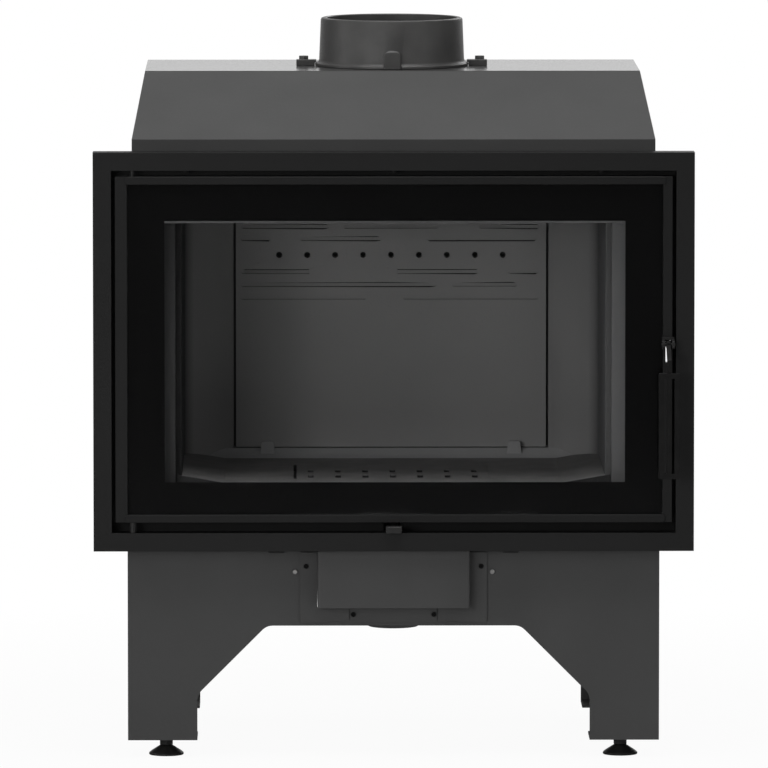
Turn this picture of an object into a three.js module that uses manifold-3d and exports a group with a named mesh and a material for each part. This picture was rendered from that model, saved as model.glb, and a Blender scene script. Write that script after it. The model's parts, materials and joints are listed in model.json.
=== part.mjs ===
// Fireplace insert: a steel firebox on a folded-sheet stand, with a hood and a cast flue collar,
// a glazed door in a built-in frame, a lever handle, a push-pull air control and four levelling feet.
// Millimetres, +Z up, the door looks along -Y. The origin is on the floor, under the middle of the box
// that holds the whole insert. Inside this file Y is measured back from the front face of the frame,
// and the whole group is shifted to its origin at the very end.
import * as THREE from "three";
import { mergeVertices } from "three/addons/utils/BufferGeometryUtils.js";
import Module from "manifold-3d";

const wasm = await Module();
wasm.setup();

// ---------------------------------------------------------------- driving dimensions

// General
const FIT = 0.3; // gap between two pieces that touch on the real insert
const FACETS = 32; // sides of a round piece of ordinary size

// Frame that covers the joint between the insert and its surround
const FRAME_WIDTH = 724;
const FRAME_HEIGHT = 482;
const FRAME_BOTTOM = 254; // height of its lower edge above the floor
const FRAME_DEPTH = 28;
const FRAME_FACE = 22; // width of the visible face
const FRAME_SHEET = 3;

// Door, set flush in the frame
const DOOR_RECESS = 1; // how far its front lies behind the face of the frame
const DOOR_THICK = 21;
const DOOR_SIDE_GAP = 4.5;
const DOOR_TOP_GAP = 7;
const DOOR_BOTTOM_GAP = 13;
const HINGE_STILE = 14.5; // steel to the left of the glass
const LATCH_STILE = 11; // steel to the right of the glass
const STILE_SHEET = 6; // thickness of the door beyond the hinge pins
const GLASS_THICK = 4;
const POCKET_LIP = 7; // steel above and below the glass
const BAR_HEIGHT = 9.5; // rails that clamp the glass along its top and bottom
const BAR_THICK = 2.2;
const BAR_OVERHANG = 2.7; // beyond the ends of the glass
const BAR_ROUND = 4;
const SIGHT_BORDER_SIDE = 40; // steel behind the dark border of the glass
const SIGHT_BORDER_TOP = 34.5;
const SIGHT_BORDER_BOTTOM = 30.5;
const ROPE = 9; // width of the rope seal
const ROPE_GROOVE = 1; // how deep the rope is bedded in the door
const ROPE_BESIDE = 6; // rope to the opening of the door
const ROPE_BELOW = 15;
const ROPE_ABOVE = 12;

// Hinges
const PIN_FROM_OPENING = 25.5; // hinge axis to the side of the opening in the frame
const PIN_BACK = 6; // hinge axis behind the face of the frame
const PIN_RADIUS = 2.5;
const PIN_RUNNING_GAP = 0.1;
const PIN_INTO_DOOR = 6;
const HINGE_BLOCK = 15; // square corner of the door round a pin
const HINGE_ANCHOR = 18; // welded block that holds a pin
const HINGE_ANCHOR_HIGH = 8;
const HINGE_COLLAR = 1.5; // shoulder that carries the door, beyond the pin

// Casing
const CASE_WIDTH = 631;
const CASE_DEPTH = 372; // from the back of the front frame
const CASE_BOTTOM = 262;
const CASE_TOP = 750;
const CASE_SHEET = 4;
const SEAT_HALF_WIDTH = 263.5; // clear opening that the door closes
const SEAT_BOTTOM = 322;
const SEAT_TOP = 668;
const SEAT_UNDER_FRAME = 10; // how far the seat plate reaches behind the face of the frame
const SEAT_RIM = 8; // folded edge that runs back from the opening

// Hood and flue
const HOOD_SHEET = 3;
const HOOD_RISE = 75;
const HOOD_SLOPE_RUN = 127;
const HOOD_SIDE_DRAW = 14.5; // how far each side leans in
const HOOD_HOLE_DEEP = 20; // more than the sheet, so that the cut goes through
const FLUE_BACK = 239; // flue axis behind the back of the front frame
const FLUE_BORE = 80; // inner radius
const FLUE_BASE = 89;
const FLUE_TOP = 87;
const FLUE_HEIGHT = 59; // above the hood
const FLUE_FOOT = 94;
const FLUE_FOOT_HIGH = 4;
const FLUE_SPIGOT_DOWN = 16; // neck below the top plate
const FLUE_SPIGOT_WALL = 4;
const CLAMP_REACH = 108; // flue axis to the bolt of a clamp
const CLAMP_WIDTH = 16;
const CLAMP_THICK = 3;
const CLAMP_BEYOND_BOLT = 9;
const CLAMP_BITE = 1.8; // how far the bar reaches in over the foot of the collar
const CLAMP_BOLT_RADIUS = 6.5;
const CLAMP_BOLT_HIGH = 4.5;
const LUG_WIDTH = 20.5;
const LUG_HEIGHT = 22;

// Stand
const STAND_WIDTH = 643;
const STAND_SHEET = 3;
const STAND_BOTTOM = 21;
const LEG_WIDTH = 84;
const LEG_RETURN = 62; // folded side of a leg
const ARCH_TOP = 160.5;
const ARCH_HALF_WIDTH = 153.5; // where the sloping edge would meet the top edge
const ARCH_ROUND = 18;
const APRON_HEIGHT = 88;
const APRON_FLANGE = 26;
const STAND_SLOT = { x: [132.5, 151], z: [249.4, 256] }; // hook slots, half hidden by the frame

// Levelling feet
const FOOT_RADIUS = 21;
const FOOT_PAD_HIGH = 12;
const FOOT_STEM = 5;
const FOOT_STEM_TOP = 66;
const FOOT_INSET_X = 46; // foot axis from the side of the stand
const FOOT_INSET_Y = 32;
const NUT_RADIUS = 9;

// Air intake under the frame
const INTAKE_WIDTH = 184;
const INTAKE_FRONT = 10; // front of the box behind the face of the frame
const INTAKE_BACK = 132;
const INTAKE_BOTTOM = 183.5;
const INTAKE_SHEET = 2;
const INTAKE_ROUND = 3.5;
const PLATE_WIDTH = 226;
const PLATE_BOTTOM = 164.5;
const PLATE_TOP = 250;
const PLATE_SHEET = 2;
const PLATE_SLIT = 0.8; // saw cuts beside the two lower screws
const PLATE_SLIT_FROM_SCREW = 3.8;
const PLATE_SLIT_END = 3; // sheet left under a slit
const PLATE_NOTCH = { x: [64.7, 77.2], high: 1.6 }; // notches in the lower edge
const SPIGOT_RADIUS = 31;
const SPIGOT_WALL = 2;
const SPIGOT_BACK = 78;
const SPIGOT_BOTTOM = 154.7;
const SPIGOT_FLANGE = 38;

// Air control
const SLIDE_WIDTH = 120;
const SLIDE_LENGTH = 32;
const SLIDE_SHEET = 3;
const AIR_SLOT_WIDTH = 96;
const AIR_SLOT_LENGTH = 22;
const AIR_SLOT_FRONT = 96;
const KNOB_WIDTH = 19.5;
const KNOB_HEIGHT = 8;
const KNOB_DEEP = 13;
const KNOB_PROUD = 14;
const ROD_RADIUS = 3;
const ROD_HEIGHT = 281;
const ROD_SLOT = { half: 11.9, over: 9 }; // in the seat plate, from the frame to above the rod

// Lining
const HEARTH_TOP = 333;
const HEARTH_THICK = 30;
const HEARTH_HALF_WIDTH = 262;
const HEARTH_FRONT = 40;
const LEDGE_RISE = 12;
const LEDGE_RUN = 11;
const LEDGE_FLAT = 1; // level part of the ledge in front of the lining
const FLANK_FOOT = 204; // the hearth rises from here to the side linings
const FLANK_RISE = 10;
const HEARTH_WALL = 24; // walls of the hollow under the hearth
const HEARTH_FRONT_WALL = 16;
const HEARTH_BACK_WALL = 20;
const DUCT_PASSAGE = 120; // way for air from the hollow to the duct
const ROD_PASSAGE = 16;
const DUCT_SPACE = 22; // back of the lining to the back of the casing
const BACK_LINING_THICK = 28;
const BACK_LINING_WIDTH = 386;
const BACK_LINING_TOP = 700;
const SIDE_LINING_THICK = 26;
const SIDE_LINING_LOW = 12; // its top below the top of the back lining
const SIDE_LINING_GAP = 2; // joint to the back lining
const SIDE_LINING_FRONT = 42;
const SIDE_LINING_HALF_WIDTH = 256; // half the chamber width at its front
const AIR_HOLES = 9;
const AIR_HOLE_PITCH = 34.6;
const AIR_HOLE_RADIUS = 3.7;
const AIR_HOLE_HEIGHT = 585;
const GROOVE_ROWS = [
  // pressed grooves: height over the air holes, then where each groove starts and ends
  { over: 35, runs: [[-185, -77], [-58, 58], [110, 183]] },
  { over: 20, runs: [[-186, -150], [-112, -12], [45, 180]] },
  { over: -21, runs: [[-185, -100], [7, 108], [145, 182]] },
  { over: -37, runs: [[-186, 56], [76, 156]] },
  { over: -53, runs: [[-186, -31], [15, 183]] },
];
const GROOVE_WIDTH = 4.5;
const GROOVE_DEPTH = 2.5;
const GRATE_WIDTH = 234;
const GRATE_FRONT = 88;
const GRATE_LENGTH = 176;
const GRATE_THICK = 8;
const GRATE_HOLES = 7;
const GRATE_PITCH = 33.3;
const GRATE_FIRST_ROW = 32; // from the front of the grate
const GRATE_ROW_PITCH = 63;
const GRATE_SLOT = 34;
const GRATE_LAP = 12; // how far the grate rests on the hearth all round
const GRATE_LIFT = 4; // slot at its left end, to lift it out by
const GRATE_HOLE_RADIUS = 3.6;
const STOP_WIDTH = 20;
const STOP_HEIGHT = 9; // over the foot of the lining
const STOP_THICK = 7;
const STOP_DRAFT = 2.5; // how much narrower it is at the top
const STOP_X = 152.8;
const BAFFLE_FRONT = 125;
const BAFFLE_SIDE_ROOM = 16; // to the inside of the shell
const BAFFLE_THICK = 26;
const BAFFLE_SLOPE = 8; // degrees
const RAIL_SHELF = 34;
const RAIL_FLANK = 22;
const RAIL_SHEET = 3;
const WASH_DEPTH = 28;
const WASH_LIP = 18;
const WASH_UPRIGHT = 24;
const WASH_SHEET = 2;
const WASH_SIDE_ROOM = 10;
const DUCT_SHEET = 2;
const DUCT_OVER_HOLES = 30;

// Handle
const HANDLE_FROM_EDGE = 5; // handle to the side of the door
const HANDLE_PIVOT_HEIGHT = 504.5;
const HANDLE_PIVOT_FRONT = 8; // pivot in front of the frame
const HANDLE_PIN_LENGTH = 14.5;
const HANDLE_PIN_RADIUS = 2;
const ARM_WIDTH = 5;
const ARM_THICK = 5;
const ARM_DROP = 16; // where the arm has reached the plane of the grip, below the pivot
const EAR_THICK = 3; // ears of the bracket
const EAR_HALF = 6;
const GRIP_WIDTH = 25;
const GRIP_DROP = 32; // top of the grip below the pivot
const GRIP_LENGTH = 127.5;
const GRIP_THICK = 8;
const GRIP_FRONT = 40; // front of the grip before the face of the frame
const GRIP_END = 6.5;
const GRIP_SLOT = 3.4;
const GRIP_RIB = 5.8; // middle bar between the two slots
const GRIP_ROUND = 1.2;
const TONGUE_REACH = 36; // latch nose behind the face of the frame
const TONGUE_DROP = 4;
const KEEPER_ROLLER = 4;
const LATCH_SLOT_WIDTH = 8; // in the seat plate, where the tongue goes through
const LATCH_SLOT_BELOW = 30; // the tongue swings down in it
const LATCH_SLOT_ABOVE = 8;
const STILE_SLOT_WIDTH = 6.4; // in the door
const STILE_SLOT_BELOW = 23;
const STILE_SLOT_ABOVE = 5;

// Screws
const FRAME_SCREW_SPREAD = 249.5; // from the middle screw to each outer one
const FRAME_SCREW_BACK = 12;
const FRAME_SCREW_HEAD = 3.2;
const FRAME_SCREW_SHANK = 1.6;
const PLATE_SCREW_HEAD = 3;
const PLATE_SCREW_SHANK = 1.5;
const PLATE_SCREW_INSET = 7.2; // upper screws from the sides of the plate
const PLATE_SCREW_DROP = 17; // and below its top
const PLATE_SCREW_LOW_X = 48.8; // lower screws from the middle
const PLATE_SCREW_RISE = 9.8; // and above its lower edge
const PANEL_SCREW_OUT = 6.4; // outside the plate
const PANEL_SCREW_DROP = 23.8; // below its top

// ---------------------------------------------------------------- places worked out from them

const frameTop = FRAME_BOTTOM + FRAME_HEIGHT;
const openingHalf = FRAME_WIDTH / 2 - FRAME_FACE;
const openingBottom = FRAME_BOTTOM + FRAME_FACE;
const openingTop = frameTop - FRAME_FACE;
const door = {
  left: -openingHalf + DOOR_SIDE_GAP,
  right: openingHalf - DOOR_SIDE_GAP,
  bottom: openingBottom + DOOR_BOTTOM_GAP,
  top: openingTop - DOOR_TOP_GAP,
  front: DOOR_RECESS,
  back: DOOR_RECESS + DOOR_THICK,
};
const glassPocket = {
  left: door.left + HINGE_STILE,
  right: door.right - LATCH_STILE,
  bottom: door.bottom + POCKET_LIP,
  top: door.top - POCKET_LIP,
};
const glassFront = door.front;
const glassBack = glassFront + GLASS_THICK;
const hingeX = -openingHalf + PIN_FROM_OPENING;
const caseFront = FRAME_DEPTH;
const caseBack = caseFront + CASE_DEPTH;
const caseHalf = CASE_WIDTH / 2;
const shellFront = caseFront + CASE_SHEET; // behind the seat plate
const floorTop = CASE_BOTTOM + CASE_SHEET; // inner face of the firebox floor
const ridgeY = caseFront + HOOD_SLOPE_RUN;
const ridgeZ = CASE_TOP + HOOD_RISE;
const flueY = caseFront + FLUE_BACK;
const flueTop = ridgeZ + FLUE_HEIGHT;
const standHalf = STAND_WIDTH / 2;
const standTop = CASE_BOTTOM - FIT;
const standBack = caseBack;
const pivotY = -HANDLE_PIVOT_FRONT;
const handleX = door.right - HANDLE_FROM_EDGE;
const gripTop = HANDLE_PIVOT_HEIGHT - GRIP_DROP;
const frameScrewX = [-FRAME_SCREW_SPREAD, 0, FRAME_SCREW_SPREAD];
const depthMiddle = (caseBack - GRIP_FRONT) / 2; // middle of the whole insert, front to back

// ---------------------------------------------------------------- solids from geometry

// A closed three.js geometry as a solid that can be joined and cut.
function solid(geometry) {
  const bare = geometry.clone();
  bare.deleteAttribute("normal");
  bare.deleteAttribute("uv");
  const merged = mergeVertices(bare, 1e-4);
  return new wasm.Manifold(
    new wasm.Mesh({
      numProp: 3,
      vertProperties: new Float32Array(merged.attributes.position.array),
      triVerts: new Uint32Array(merged.index.array),
    }),
  );
}

// The way back: a solid as a geometry with flat-shaded faces.
function geometryOf(body) {
  const made = body.getMesh();
  const geometry = new THREE.BufferGeometry();
  geometry.setAttribute("position", new THREE.BufferAttribute(made.vertProperties, 3));
  geometry.setIndex(new THREE.BufferAttribute(made.triVerts, 1));
  const flat = geometry.toNonIndexed();
  flat.computeVertexNormals();
  return flat;
}

function join(first, ...others) {
  return others.reduce((sum, next) => sum.add(next), first);
}

function cut(body, ...tools) {
  return tools.reduce((rest, tool) => rest.subtract(tool), body);
}

// A block between two values on each axis.
function block([x0, x1], [y0, y1], [z0, z1]) {
  const box = new THREE.BoxGeometry(x1 - x0, y1 - y0, z1 - z0);
  return solid(box.translate((x0 + x1) / 2, (y0 + y1) / 2, (z0 + z1) / 2));
}

// A width centred on the middle plane.
function across(width) {
  return [-width / 2, width / 2];
}

// A round bar along an axis; `at` holds the two other coordinates in X, Y, Z order.
function bar(axis, radius, [from, to], at, facets = FACETS) {
  const geometry = new THREE.CylinderGeometry(radius, radius, to - from, facets);
  const middle = (from + to) / 2;
  if (axis === "x") geometry.rotateZ(-Math.PI / 2).translate(middle, at[0], at[1]);
  if (axis === "y") geometry.translate(at[0], middle, at[1]);
  if (axis === "z") geometry.rotateX(Math.PI / 2).translate(at[0], at[1], middle);
  return solid(geometry);
}

// A profile of [radius, height] points turned round a vertical axis.
function turned(profile, [x, y], facets = FACETS) {
  const points = profile.map(([r, z]) => new THREE.Vector2(r, z));
  const geometry = new THREE.LatheGeometry(points, facets);
  return solid(geometry.rotateX(Math.PI / 2).translate(x, y, 0));
}

// An outline with its corners rounded; each point is [u, v] or [u, v, radius].
function outline(points) {
  const shape = new THREE.Shape();
  points.forEach(([u, v, radius = 0], i) => {
    const corner = new THREE.Vector2(u, v);
    const before = points[(i + points.length - 1) % points.length];
    const after = points[(i + 1) % points.length];
    const inward = new THREE.Vector2(before[0] - u, before[1] - v).normalize();
    const outward = new THREE.Vector2(after[0] - u, after[1] - v).normalize();
    const half = inward.angleTo(outward) / 2;
    const back = radius / Math.tan(half);
    const start = corner.clone().addScaledVector(inward, back);
    const end = corner.clone().addScaledVector(outward, back);
    if (i === 0) shape.moveTo(start.x, start.y);
    else shape.lineTo(start.x, start.y);
    if (radius > 0) shape.quadraticCurveTo(u, v, end.x, end.y);
  });
  shape.closePath();
  return shape;
}

const extruded = (shape, depth, steps) =>
  new THREE.ExtrudeGeometry(shape, { depth, bevelEnabled: false, curveSegments: steps });

// A sheet or slab whose outline is drawn in X and Z, from the front at y0 to the back at y1.
function facingFront(shape, [y0, y1], steps = 5) {
  return solid(extruded(shape, y1 - y0, steps).rotateX(Math.PI / 2).translate(0, y1, 0));
}

// One whose outline is drawn in X and Y, from z0 up to z1.
function lying(shape, [z0, z1], steps = 5) {
  return solid(extruded(shape, z1 - z0, steps).translate(0, 0, z0));
}

// One whose outline is drawn in Y and Z, from x0 across to x1.
function sideways(shape, [x0, x1], steps = 5) {
  const turn = new THREE.Matrix4().makeBasis(
    new THREE.Vector3(0, 1, 0),
    new THREE.Vector3(0, 0, 1),
    new THREE.Vector3(1, 0, 0),
  );
  return solid(extruded(shape, x1 - x0, steps).applyMatrix4(turn).translate(x0, 0, 0));
}

// A straight loft from a rectangle at z0 to another at z1; each is {x: [..], y: [..]}.
function loft(low, z0, high, z1) {
  const corners = ({ x, y }, z) => [
    [x[0], y[0], z],
    [x[1], y[0], z],
    [x[1], y[1], z],
    [x[0], y[1], z],
  ];
  const points = [...corners(low, z0), ...corners(high, z1)];
  const faces = [[0, 2, 1], [0, 3, 2], [4, 5, 6], [4, 6, 7]];
  for (let i = 0; i < 4; i++) {
    const next = (i + 1) % 4;
    faces.push([i, next, next + 4], [i, next + 4, i + 4]);
  }
  const geometry = new THREE.BufferGeometry();
  geometry.setAttribute("position", new THREE.Float32BufferAttribute(points.flat(), 3));
  geometry.setIndex(faces.flat());
  return solid(geometry);
}

// A window through a sheet that faces the front.
function opening(x, z, [y0, y1]) {
  return block(x, [y0 - 1, y1 + 1], z);
}

// ---------------------------------------------------------------- casing, hood and flue

// The seat plate closes the front of the casing; the door shuts against its rim.
const seat = {
  half: openingHalf + SEAT_UNDER_FRAME,
  top: frameTop - SEAT_UNDER_FRAME,
};
const latchSlot = {
  x: [handleX - LATCH_SLOT_WIDTH / 2, handleX + LATCH_SLOT_WIDTH / 2],
  z: [HANDLE_PIVOT_HEIGHT - LATCH_SLOT_BELOW, HANDLE_PIVOT_HEIGHT + LATCH_SLOT_ABOVE],
};

function doorSeat() {
  const sheet = [caseFront, shellFront];
  const shape = outline([
    [-seat.half, CASE_BOTTOM],
    [seat.half, CASE_BOTTOM],
    [seat.half, seat.top],
    [caseHalf, seat.top],
    [caseHalf, CASE_TOP],
    [-caseHalf, CASE_TOP],
    [-caseHalf, seat.top],
    [-seat.half, seat.top],
  ]);
  const rim = block(
    across(2 * (SEAT_HALF_WIDTH + CASE_SHEET)),
    [shellFront - 1, shellFront + SEAT_RIM],
    [SEAT_BOTTOM - CASE_SHEET, SEAT_TOP + CASE_SHEET],
  );
  return cut(
    join(facingFront(shape, sheet), rim),
    opening(across(2 * SEAT_HALF_WIDTH), [SEAT_BOTTOM, SEAT_TOP], [caseFront, shellFront + SEAT_RIM]),
    opening(latchSlot.x, latchSlot.z, sheet),
    opening([-ROD_SLOT.half, ROD_SLOT.half], [openingBottom, ROD_HEIGHT + ROD_SLOT.over], sheet),
  );
}

function fireboxShell() {
  const inside = caseHalf - CASE_SHEET;
  const slot = [AIR_SLOT_FRONT, AIR_SLOT_FRONT + AIR_SLOT_LENGTH];
  return cut(
    block(across(CASE_WIDTH), [shellFront, caseBack], [CASE_BOTTOM, CASE_TOP]),
    block([-inside, inside], [shellFront - 1, caseBack - CASE_SHEET], [floorTop, CASE_TOP + 1]),
    block(across(AIR_SLOT_WIDTH), slot, [CASE_BOTTOM - 1, floorTop + 1]),
  );
}

// The hood slopes up from the seat plate to a ridge, then runs level to the back of the casing.
function hood() {
  const shellOf = (wall, lift) =>
    loft(
      { x: [-caseHalf + wall, caseHalf - wall], y: [caseFront + wall, caseBack - wall] },
      CASE_TOP - lift,
      {
        x: [-caseHalf + HOOD_SIDE_DRAW + wall, caseHalf - HOOD_SIDE_DRAW - wall],
        y: [ridgeY + wall / 2, caseBack - HOOD_SIDE_DRAW - wall],
      },
      ridgeZ - wall,
    );
  const hole = [ridgeZ - HOOD_HOLE_DEEP, ridgeZ + 1];
  const neck = bar("z", FLUE_BORE + FLUE_SPIGOT_WALL + FIT, hole, [0, flueY], 64);
  return cut(shellOf(0, 0), shellOf(HOOD_SHEET, FIT / 3), neck);
}

// The cast collar: a spreading foot on the hood, a slightly tapered wall and a neck inside the hood.
function flueCollar() {
  const neckOuter = FLUE_BORE + FLUE_SPIGOT_WALL;
  const body = turned(
    [
      [FLUE_BORE, ridgeZ - FLUE_SPIGOT_DOWN],
      [neckOuter, ridgeZ - FLUE_SPIGOT_DOWN],
      [neckOuter, ridgeZ],
      [FLUE_FOOT, ridgeZ],
      [FLUE_FOOT, ridgeZ + FLUE_FOOT_HIGH],
      [FLUE_BASE + 2.5, ridgeZ + FLUE_FOOT_HIGH],
      [FLUE_BASE + 0.8, ridgeZ + FLUE_FOOT_HIGH + 1.2],
      [FLUE_BASE, ridgeZ + FLUE_FOOT_HIGH + 4],
      [FLUE_TOP, flueTop - 1.5],
      [FLUE_TOP - 1.5, flueTop],
      [FLUE_BORE, flueTop],
      [FLUE_BORE, ridgeZ - FLUE_SPIGOT_DOWN],
    ],
    [0, flueY],
    64,
  );
  const half = LUG_WIDTH / 2;
  const lug = facingFront(
    outline([
      [-half, ridgeZ],
      [half, ridgeZ],
      [half, ridgeZ + LUG_HEIGHT, half * 0.8],
      [-half, ridgeZ + LUG_HEIGHT, half * 0.8],
    ]),
    [flueY - FLUE_FOOT - 2, flueY - FLUE_BASE + 4],
  );
  return join(body, lug);
}

// A clamp bar on the hood holds the foot of the collar down; its hexagon bolt is one piece with it.
function collarClamp(side) {
  const far = CLAMP_REACH + CLAMP_BEYOND_BOLT;
  const near = FLUE_FOOT + FIT - CLAMP_BITE;
  const step = ridgeZ + FLUE_FOOT_HIGH + FIT;
  const profile = new THREE.Shape();
  profile.moveTo(FLUE_FOOT + FIT, ridgeZ);
  profile.lineTo(far, ridgeZ);
  profile.lineTo(far, step + CLAMP_THICK);
  profile.lineTo(near, step + CLAMP_THICK);
  profile.lineTo(near, step);
  profile.lineTo(FLUE_FOOT + FIT, step);
  profile.closePath();
  const plate = solid(
    extruded(profile, CLAMP_WIDTH, 1)
      .rotateX(Math.PI / 2)
      .translate(0, CLAMP_WIDTH / 2, 0),
  );
  const boltHead = [step + CLAMP_THICK - 1, step + CLAMP_THICK + CLAMP_BOLT_HIGH];
  const bolt = bar("z", CLAMP_BOLT_RADIUS, boltHead, [CLAMP_REACH, 0], 6);
  const turn = side > 0 ? 0 : 180;
  return join(plate, bolt).rotate([0, 0, turn]).translate([0, flueY, 0]);
}

// ---------------------------------------------------------------- front frame and hinges

const hingeAt = [hingeX, PIN_BACK];
const hingeAnchorX = [hingeX - HINGE_ANCHOR / 2, hingeX + HINGE_ANCHOR / 2];

// Four lengths of channel, open to the back, welded at the corners.
function frontFrame() {
  const s = FRAME_SHEET;
  const half = FRAME_WIDTH / 2;
  const whole = block([-half, half], [0, FRAME_DEPTH], [FRAME_BOTTOM, frameTop]);
  const clear = opening([-openingHalf, openingHalf], [openingBottom, openingTop], [0, FRAME_DEPTH]);
  const channel = cut(
    block([-half + s, half - s], [s, FRAME_DEPTH + 1], [FRAME_BOTTOM + s, frameTop - s]),
    block([-openingHalf - s, openingHalf + s], [0, FRAME_DEPTH + 2], [openingBottom - s, openingTop + s]),
  );
  const pinHole = PIN_RADIUS + FIT;
  const screwHoles = frameScrewX.map((x) =>
    bar("z", FRAME_SCREW_SHANK + FIT, [openingTop - 1, openingTop + s + 1], [x, FRAME_SCREW_BACK], 12),
  );
  return cut(
    cut(whole, clear, channel),
    bar("z", pinHole, [openingTop - 1, openingTop + s + 1], hingeAt, 16),
    bar("z", pinHole, [openingBottom - s - 1, openingBottom + 1], hingeAt, 16),
    ...screwHoles,
  );
}

// Hinge pins are welded to blocks that sit inside the channel, above and below the door.
function hingeTop() {
  const s = FRAME_SHEET;
  const foot = openingTop + s + FIT;
  const anchor = block(hingeAnchorX, [s + FIT, FRAME_DEPTH - FIT], [foot, foot + HINGE_ANCHOR_HIGH]);
  const pin = bar("z", PIN_RADIUS, [door.top - PIN_INTO_DOOR, foot + 1], hingeAt, 24);
  return join(anchor, pin);
}

function hingeBottom() {
  const s = FRAME_SHEET;
  const top = openingBottom - s - FIT;
  const anchor = block(hingeAnchorX, [s + FIT, FRAME_DEPTH - FIT], [top - HINGE_ANCHOR_HIGH, top]);
  const pin = bar("z", PIN_RADIUS, [top - 1, door.bottom + PIN_INTO_DOOR], hingeAt, 24);
  const collar = bar("z", PIN_RADIUS + HINGE_COLLAR, [openingBottom + FIT, door.bottom - FIT], hingeAt, 24);
  return join(anchor, pin, collar);
}

// ---------------------------------------------------------------- screws

// A pan-head screw along Y with its head to the front, or along Z with its head below.
function screwY([x, z], seatY, head, shank, length) {
  return join(
    bar("y", head, [seatY - FIT - 1.6, seatY - FIT], [x, z], 12),
    bar("y", shank, [seatY - FIT - 1, seatY + length], [x, z], 8),
  );
}

function screwZ([x, y], seatZ, head, shank, length) {
  return join(
    bar("z", head, [seatZ - FIT - 2, seatZ - FIT], [x, y], 12),
    bar("z", shank, [seatZ - FIT - 1, seatZ + length], [x, y], 8),
  );
}

// ---------------------------------------------------------------- stand and feet

const footX = standHalf - FOOT_INSET_X;
const footY = { front: caseFront + FOOT_INSET_Y, rear: standBack - FOOT_INSET_Y };
const legInner = standHalf - LEG_WIDTH;
const archShoulder = ARCH_TOP - (legInner - ARCH_HALF_WIDTH); // the slope runs at 45 degrees
const intakeHole = { x: across(INTAKE_WIDTH + 2 * FIT), z: [INTAKE_BOTTOM - FIT, standTop + 1] };
const plateScrews = [-1, 1].flatMap((side) => [
  [side * (PLATE_WIDTH / 2 - PLATE_SCREW_INSET), PLATE_TOP - PLATE_SCREW_DROP],
  [side * PLATE_SCREW_LOW_X, PLATE_BOTTOM + PLATE_SCREW_RISE],
]);
const panelScrews = [-1, 1].map((side) => [
  side * (PLATE_WIDTH / 2 + PANEL_SCREW_OUT),
  PLATE_TOP - PANEL_SCREW_DROP,
]);

// A stand panel is one folded sheet: the face with its arch, a return down each leg and foot flanges.
function standPanel(isFront) {
  const s = STAND_SHEET;
  const face = isFront ? [caseFront, caseFront + s] : [standBack - s, standBack];
  const wing = isFront ? [caseFront, caseFront + LEG_RETURN] : [standBack - LEG_RETURN, standBack];
  const feet = isFront ? footY.front : footY.rear;
  const sheet = facingFront(
    outline([
      [-standHalf, STAND_BOTTOM],
      [-legInner, STAND_BOTTOM],
      [-legInner, archShoulder, ARCH_ROUND],
      [-ARCH_HALF_WIDTH, ARCH_TOP, ARCH_ROUND],
      [ARCH_HALF_WIDTH, ARCH_TOP, ARCH_ROUND],
      [legInner, archShoulder, ARCH_ROUND],
      [legInner, STAND_BOTTOM],
      [standHalf, STAND_BOTTOM],
      [standHalf, standTop],
      [-standHalf, standTop],
    ]),
    face,
  );
  const folds = [-1, 1].flatMap((side) => {
    const outer = side * standHalf;
    const inner = side * (standHalf - s);
    const wall = [Math.min(outer, inner), Math.max(outer, inner)];
    const sole = [Math.min(side * legInner, outer), Math.max(side * legInner, outer)];
    return [
      block(wall, wing, [STAND_BOTTOM, standTop]),
      cut(
        block(sole, wing, [STAND_BOTTOM, STAND_BOTTOM + s]),
        bar("z", FOOT_STEM + FIT, [STAND_BOTTOM - 1, STAND_BOTTOM + s + 1], [side * footX, feet], 16),
      ),
    ];
  });
  const body = join(sheet, ...folds);
  if (!isFront) return body;
  const shankHole = (at) => bar("y", PLATE_SCREW_SHANK + FIT, [face[0] - 1, face[1] + 1], at, 10);
  return cut(
    body,
    opening(intakeHole.x, intakeHole.z, face),
    opening(STAND_SLOT.x, STAND_SLOT.z, face),
    opening([-STAND_SLOT.x[1], -STAND_SLOT.x[0]], STAND_SLOT.z, face),
    ...plateScrews.map(shankHole),
    ...panelScrews.map(shankHole),
  );
}

// Side aprons join the two panels under the casing; a flange along the top carries the firebox.
function sideApron(side) {
  const s = STAND_SHEET;
  const outer = standHalf - s - FIT;
  const run = [caseFront + s + FIT, standBack - s - FIT];
  const wall = block([outer - s, outer], run, [standTop - APRON_HEIGHT, standTop]);
  const flange = block([outer - APRON_FLANGE, outer], run, [standTop - s, standTop]);
  const angle = join(wall, flange);
  return side > 0 ? angle : angle.mirror([1, 0, 0]);
}

function footAt(x, y) {
  return turned(
    [
      [0, 0],
      [FOOT_RADIUS, 0],
      [FOOT_RADIUS, 2.5],
      [FOOT_RADIUS * 0.85, 5],
      [FOOT_STEM + 3.5, FOOT_PAD_HIGH - 1],
      [FOOT_STEM + 2, FOOT_PAD_HIGH],
      [FOOT_STEM, FOOT_PAD_HIGH],
      [FOOT_STEM, FOOT_STEM_TOP - 1],
      [FOOT_STEM - 1, FOOT_STEM_TOP],
      [0, FOOT_STEM_TOP],
    ],
    [x, y],
    24,
  );
}

function footNutAt(x, y) {
  const height = [FOOT_PAD_HIGH + FIT, STAND_BOTTOM - FIT];
  const hole = [height[0] - 1, height[1] + 1];
  return cut(bar("z", NUT_RADIUS, height, [x, y], 6), bar("z", FOOT_STEM + FIT, hole, [x, y], 16));
}

// ---------------------------------------------------------------- air intake

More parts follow.
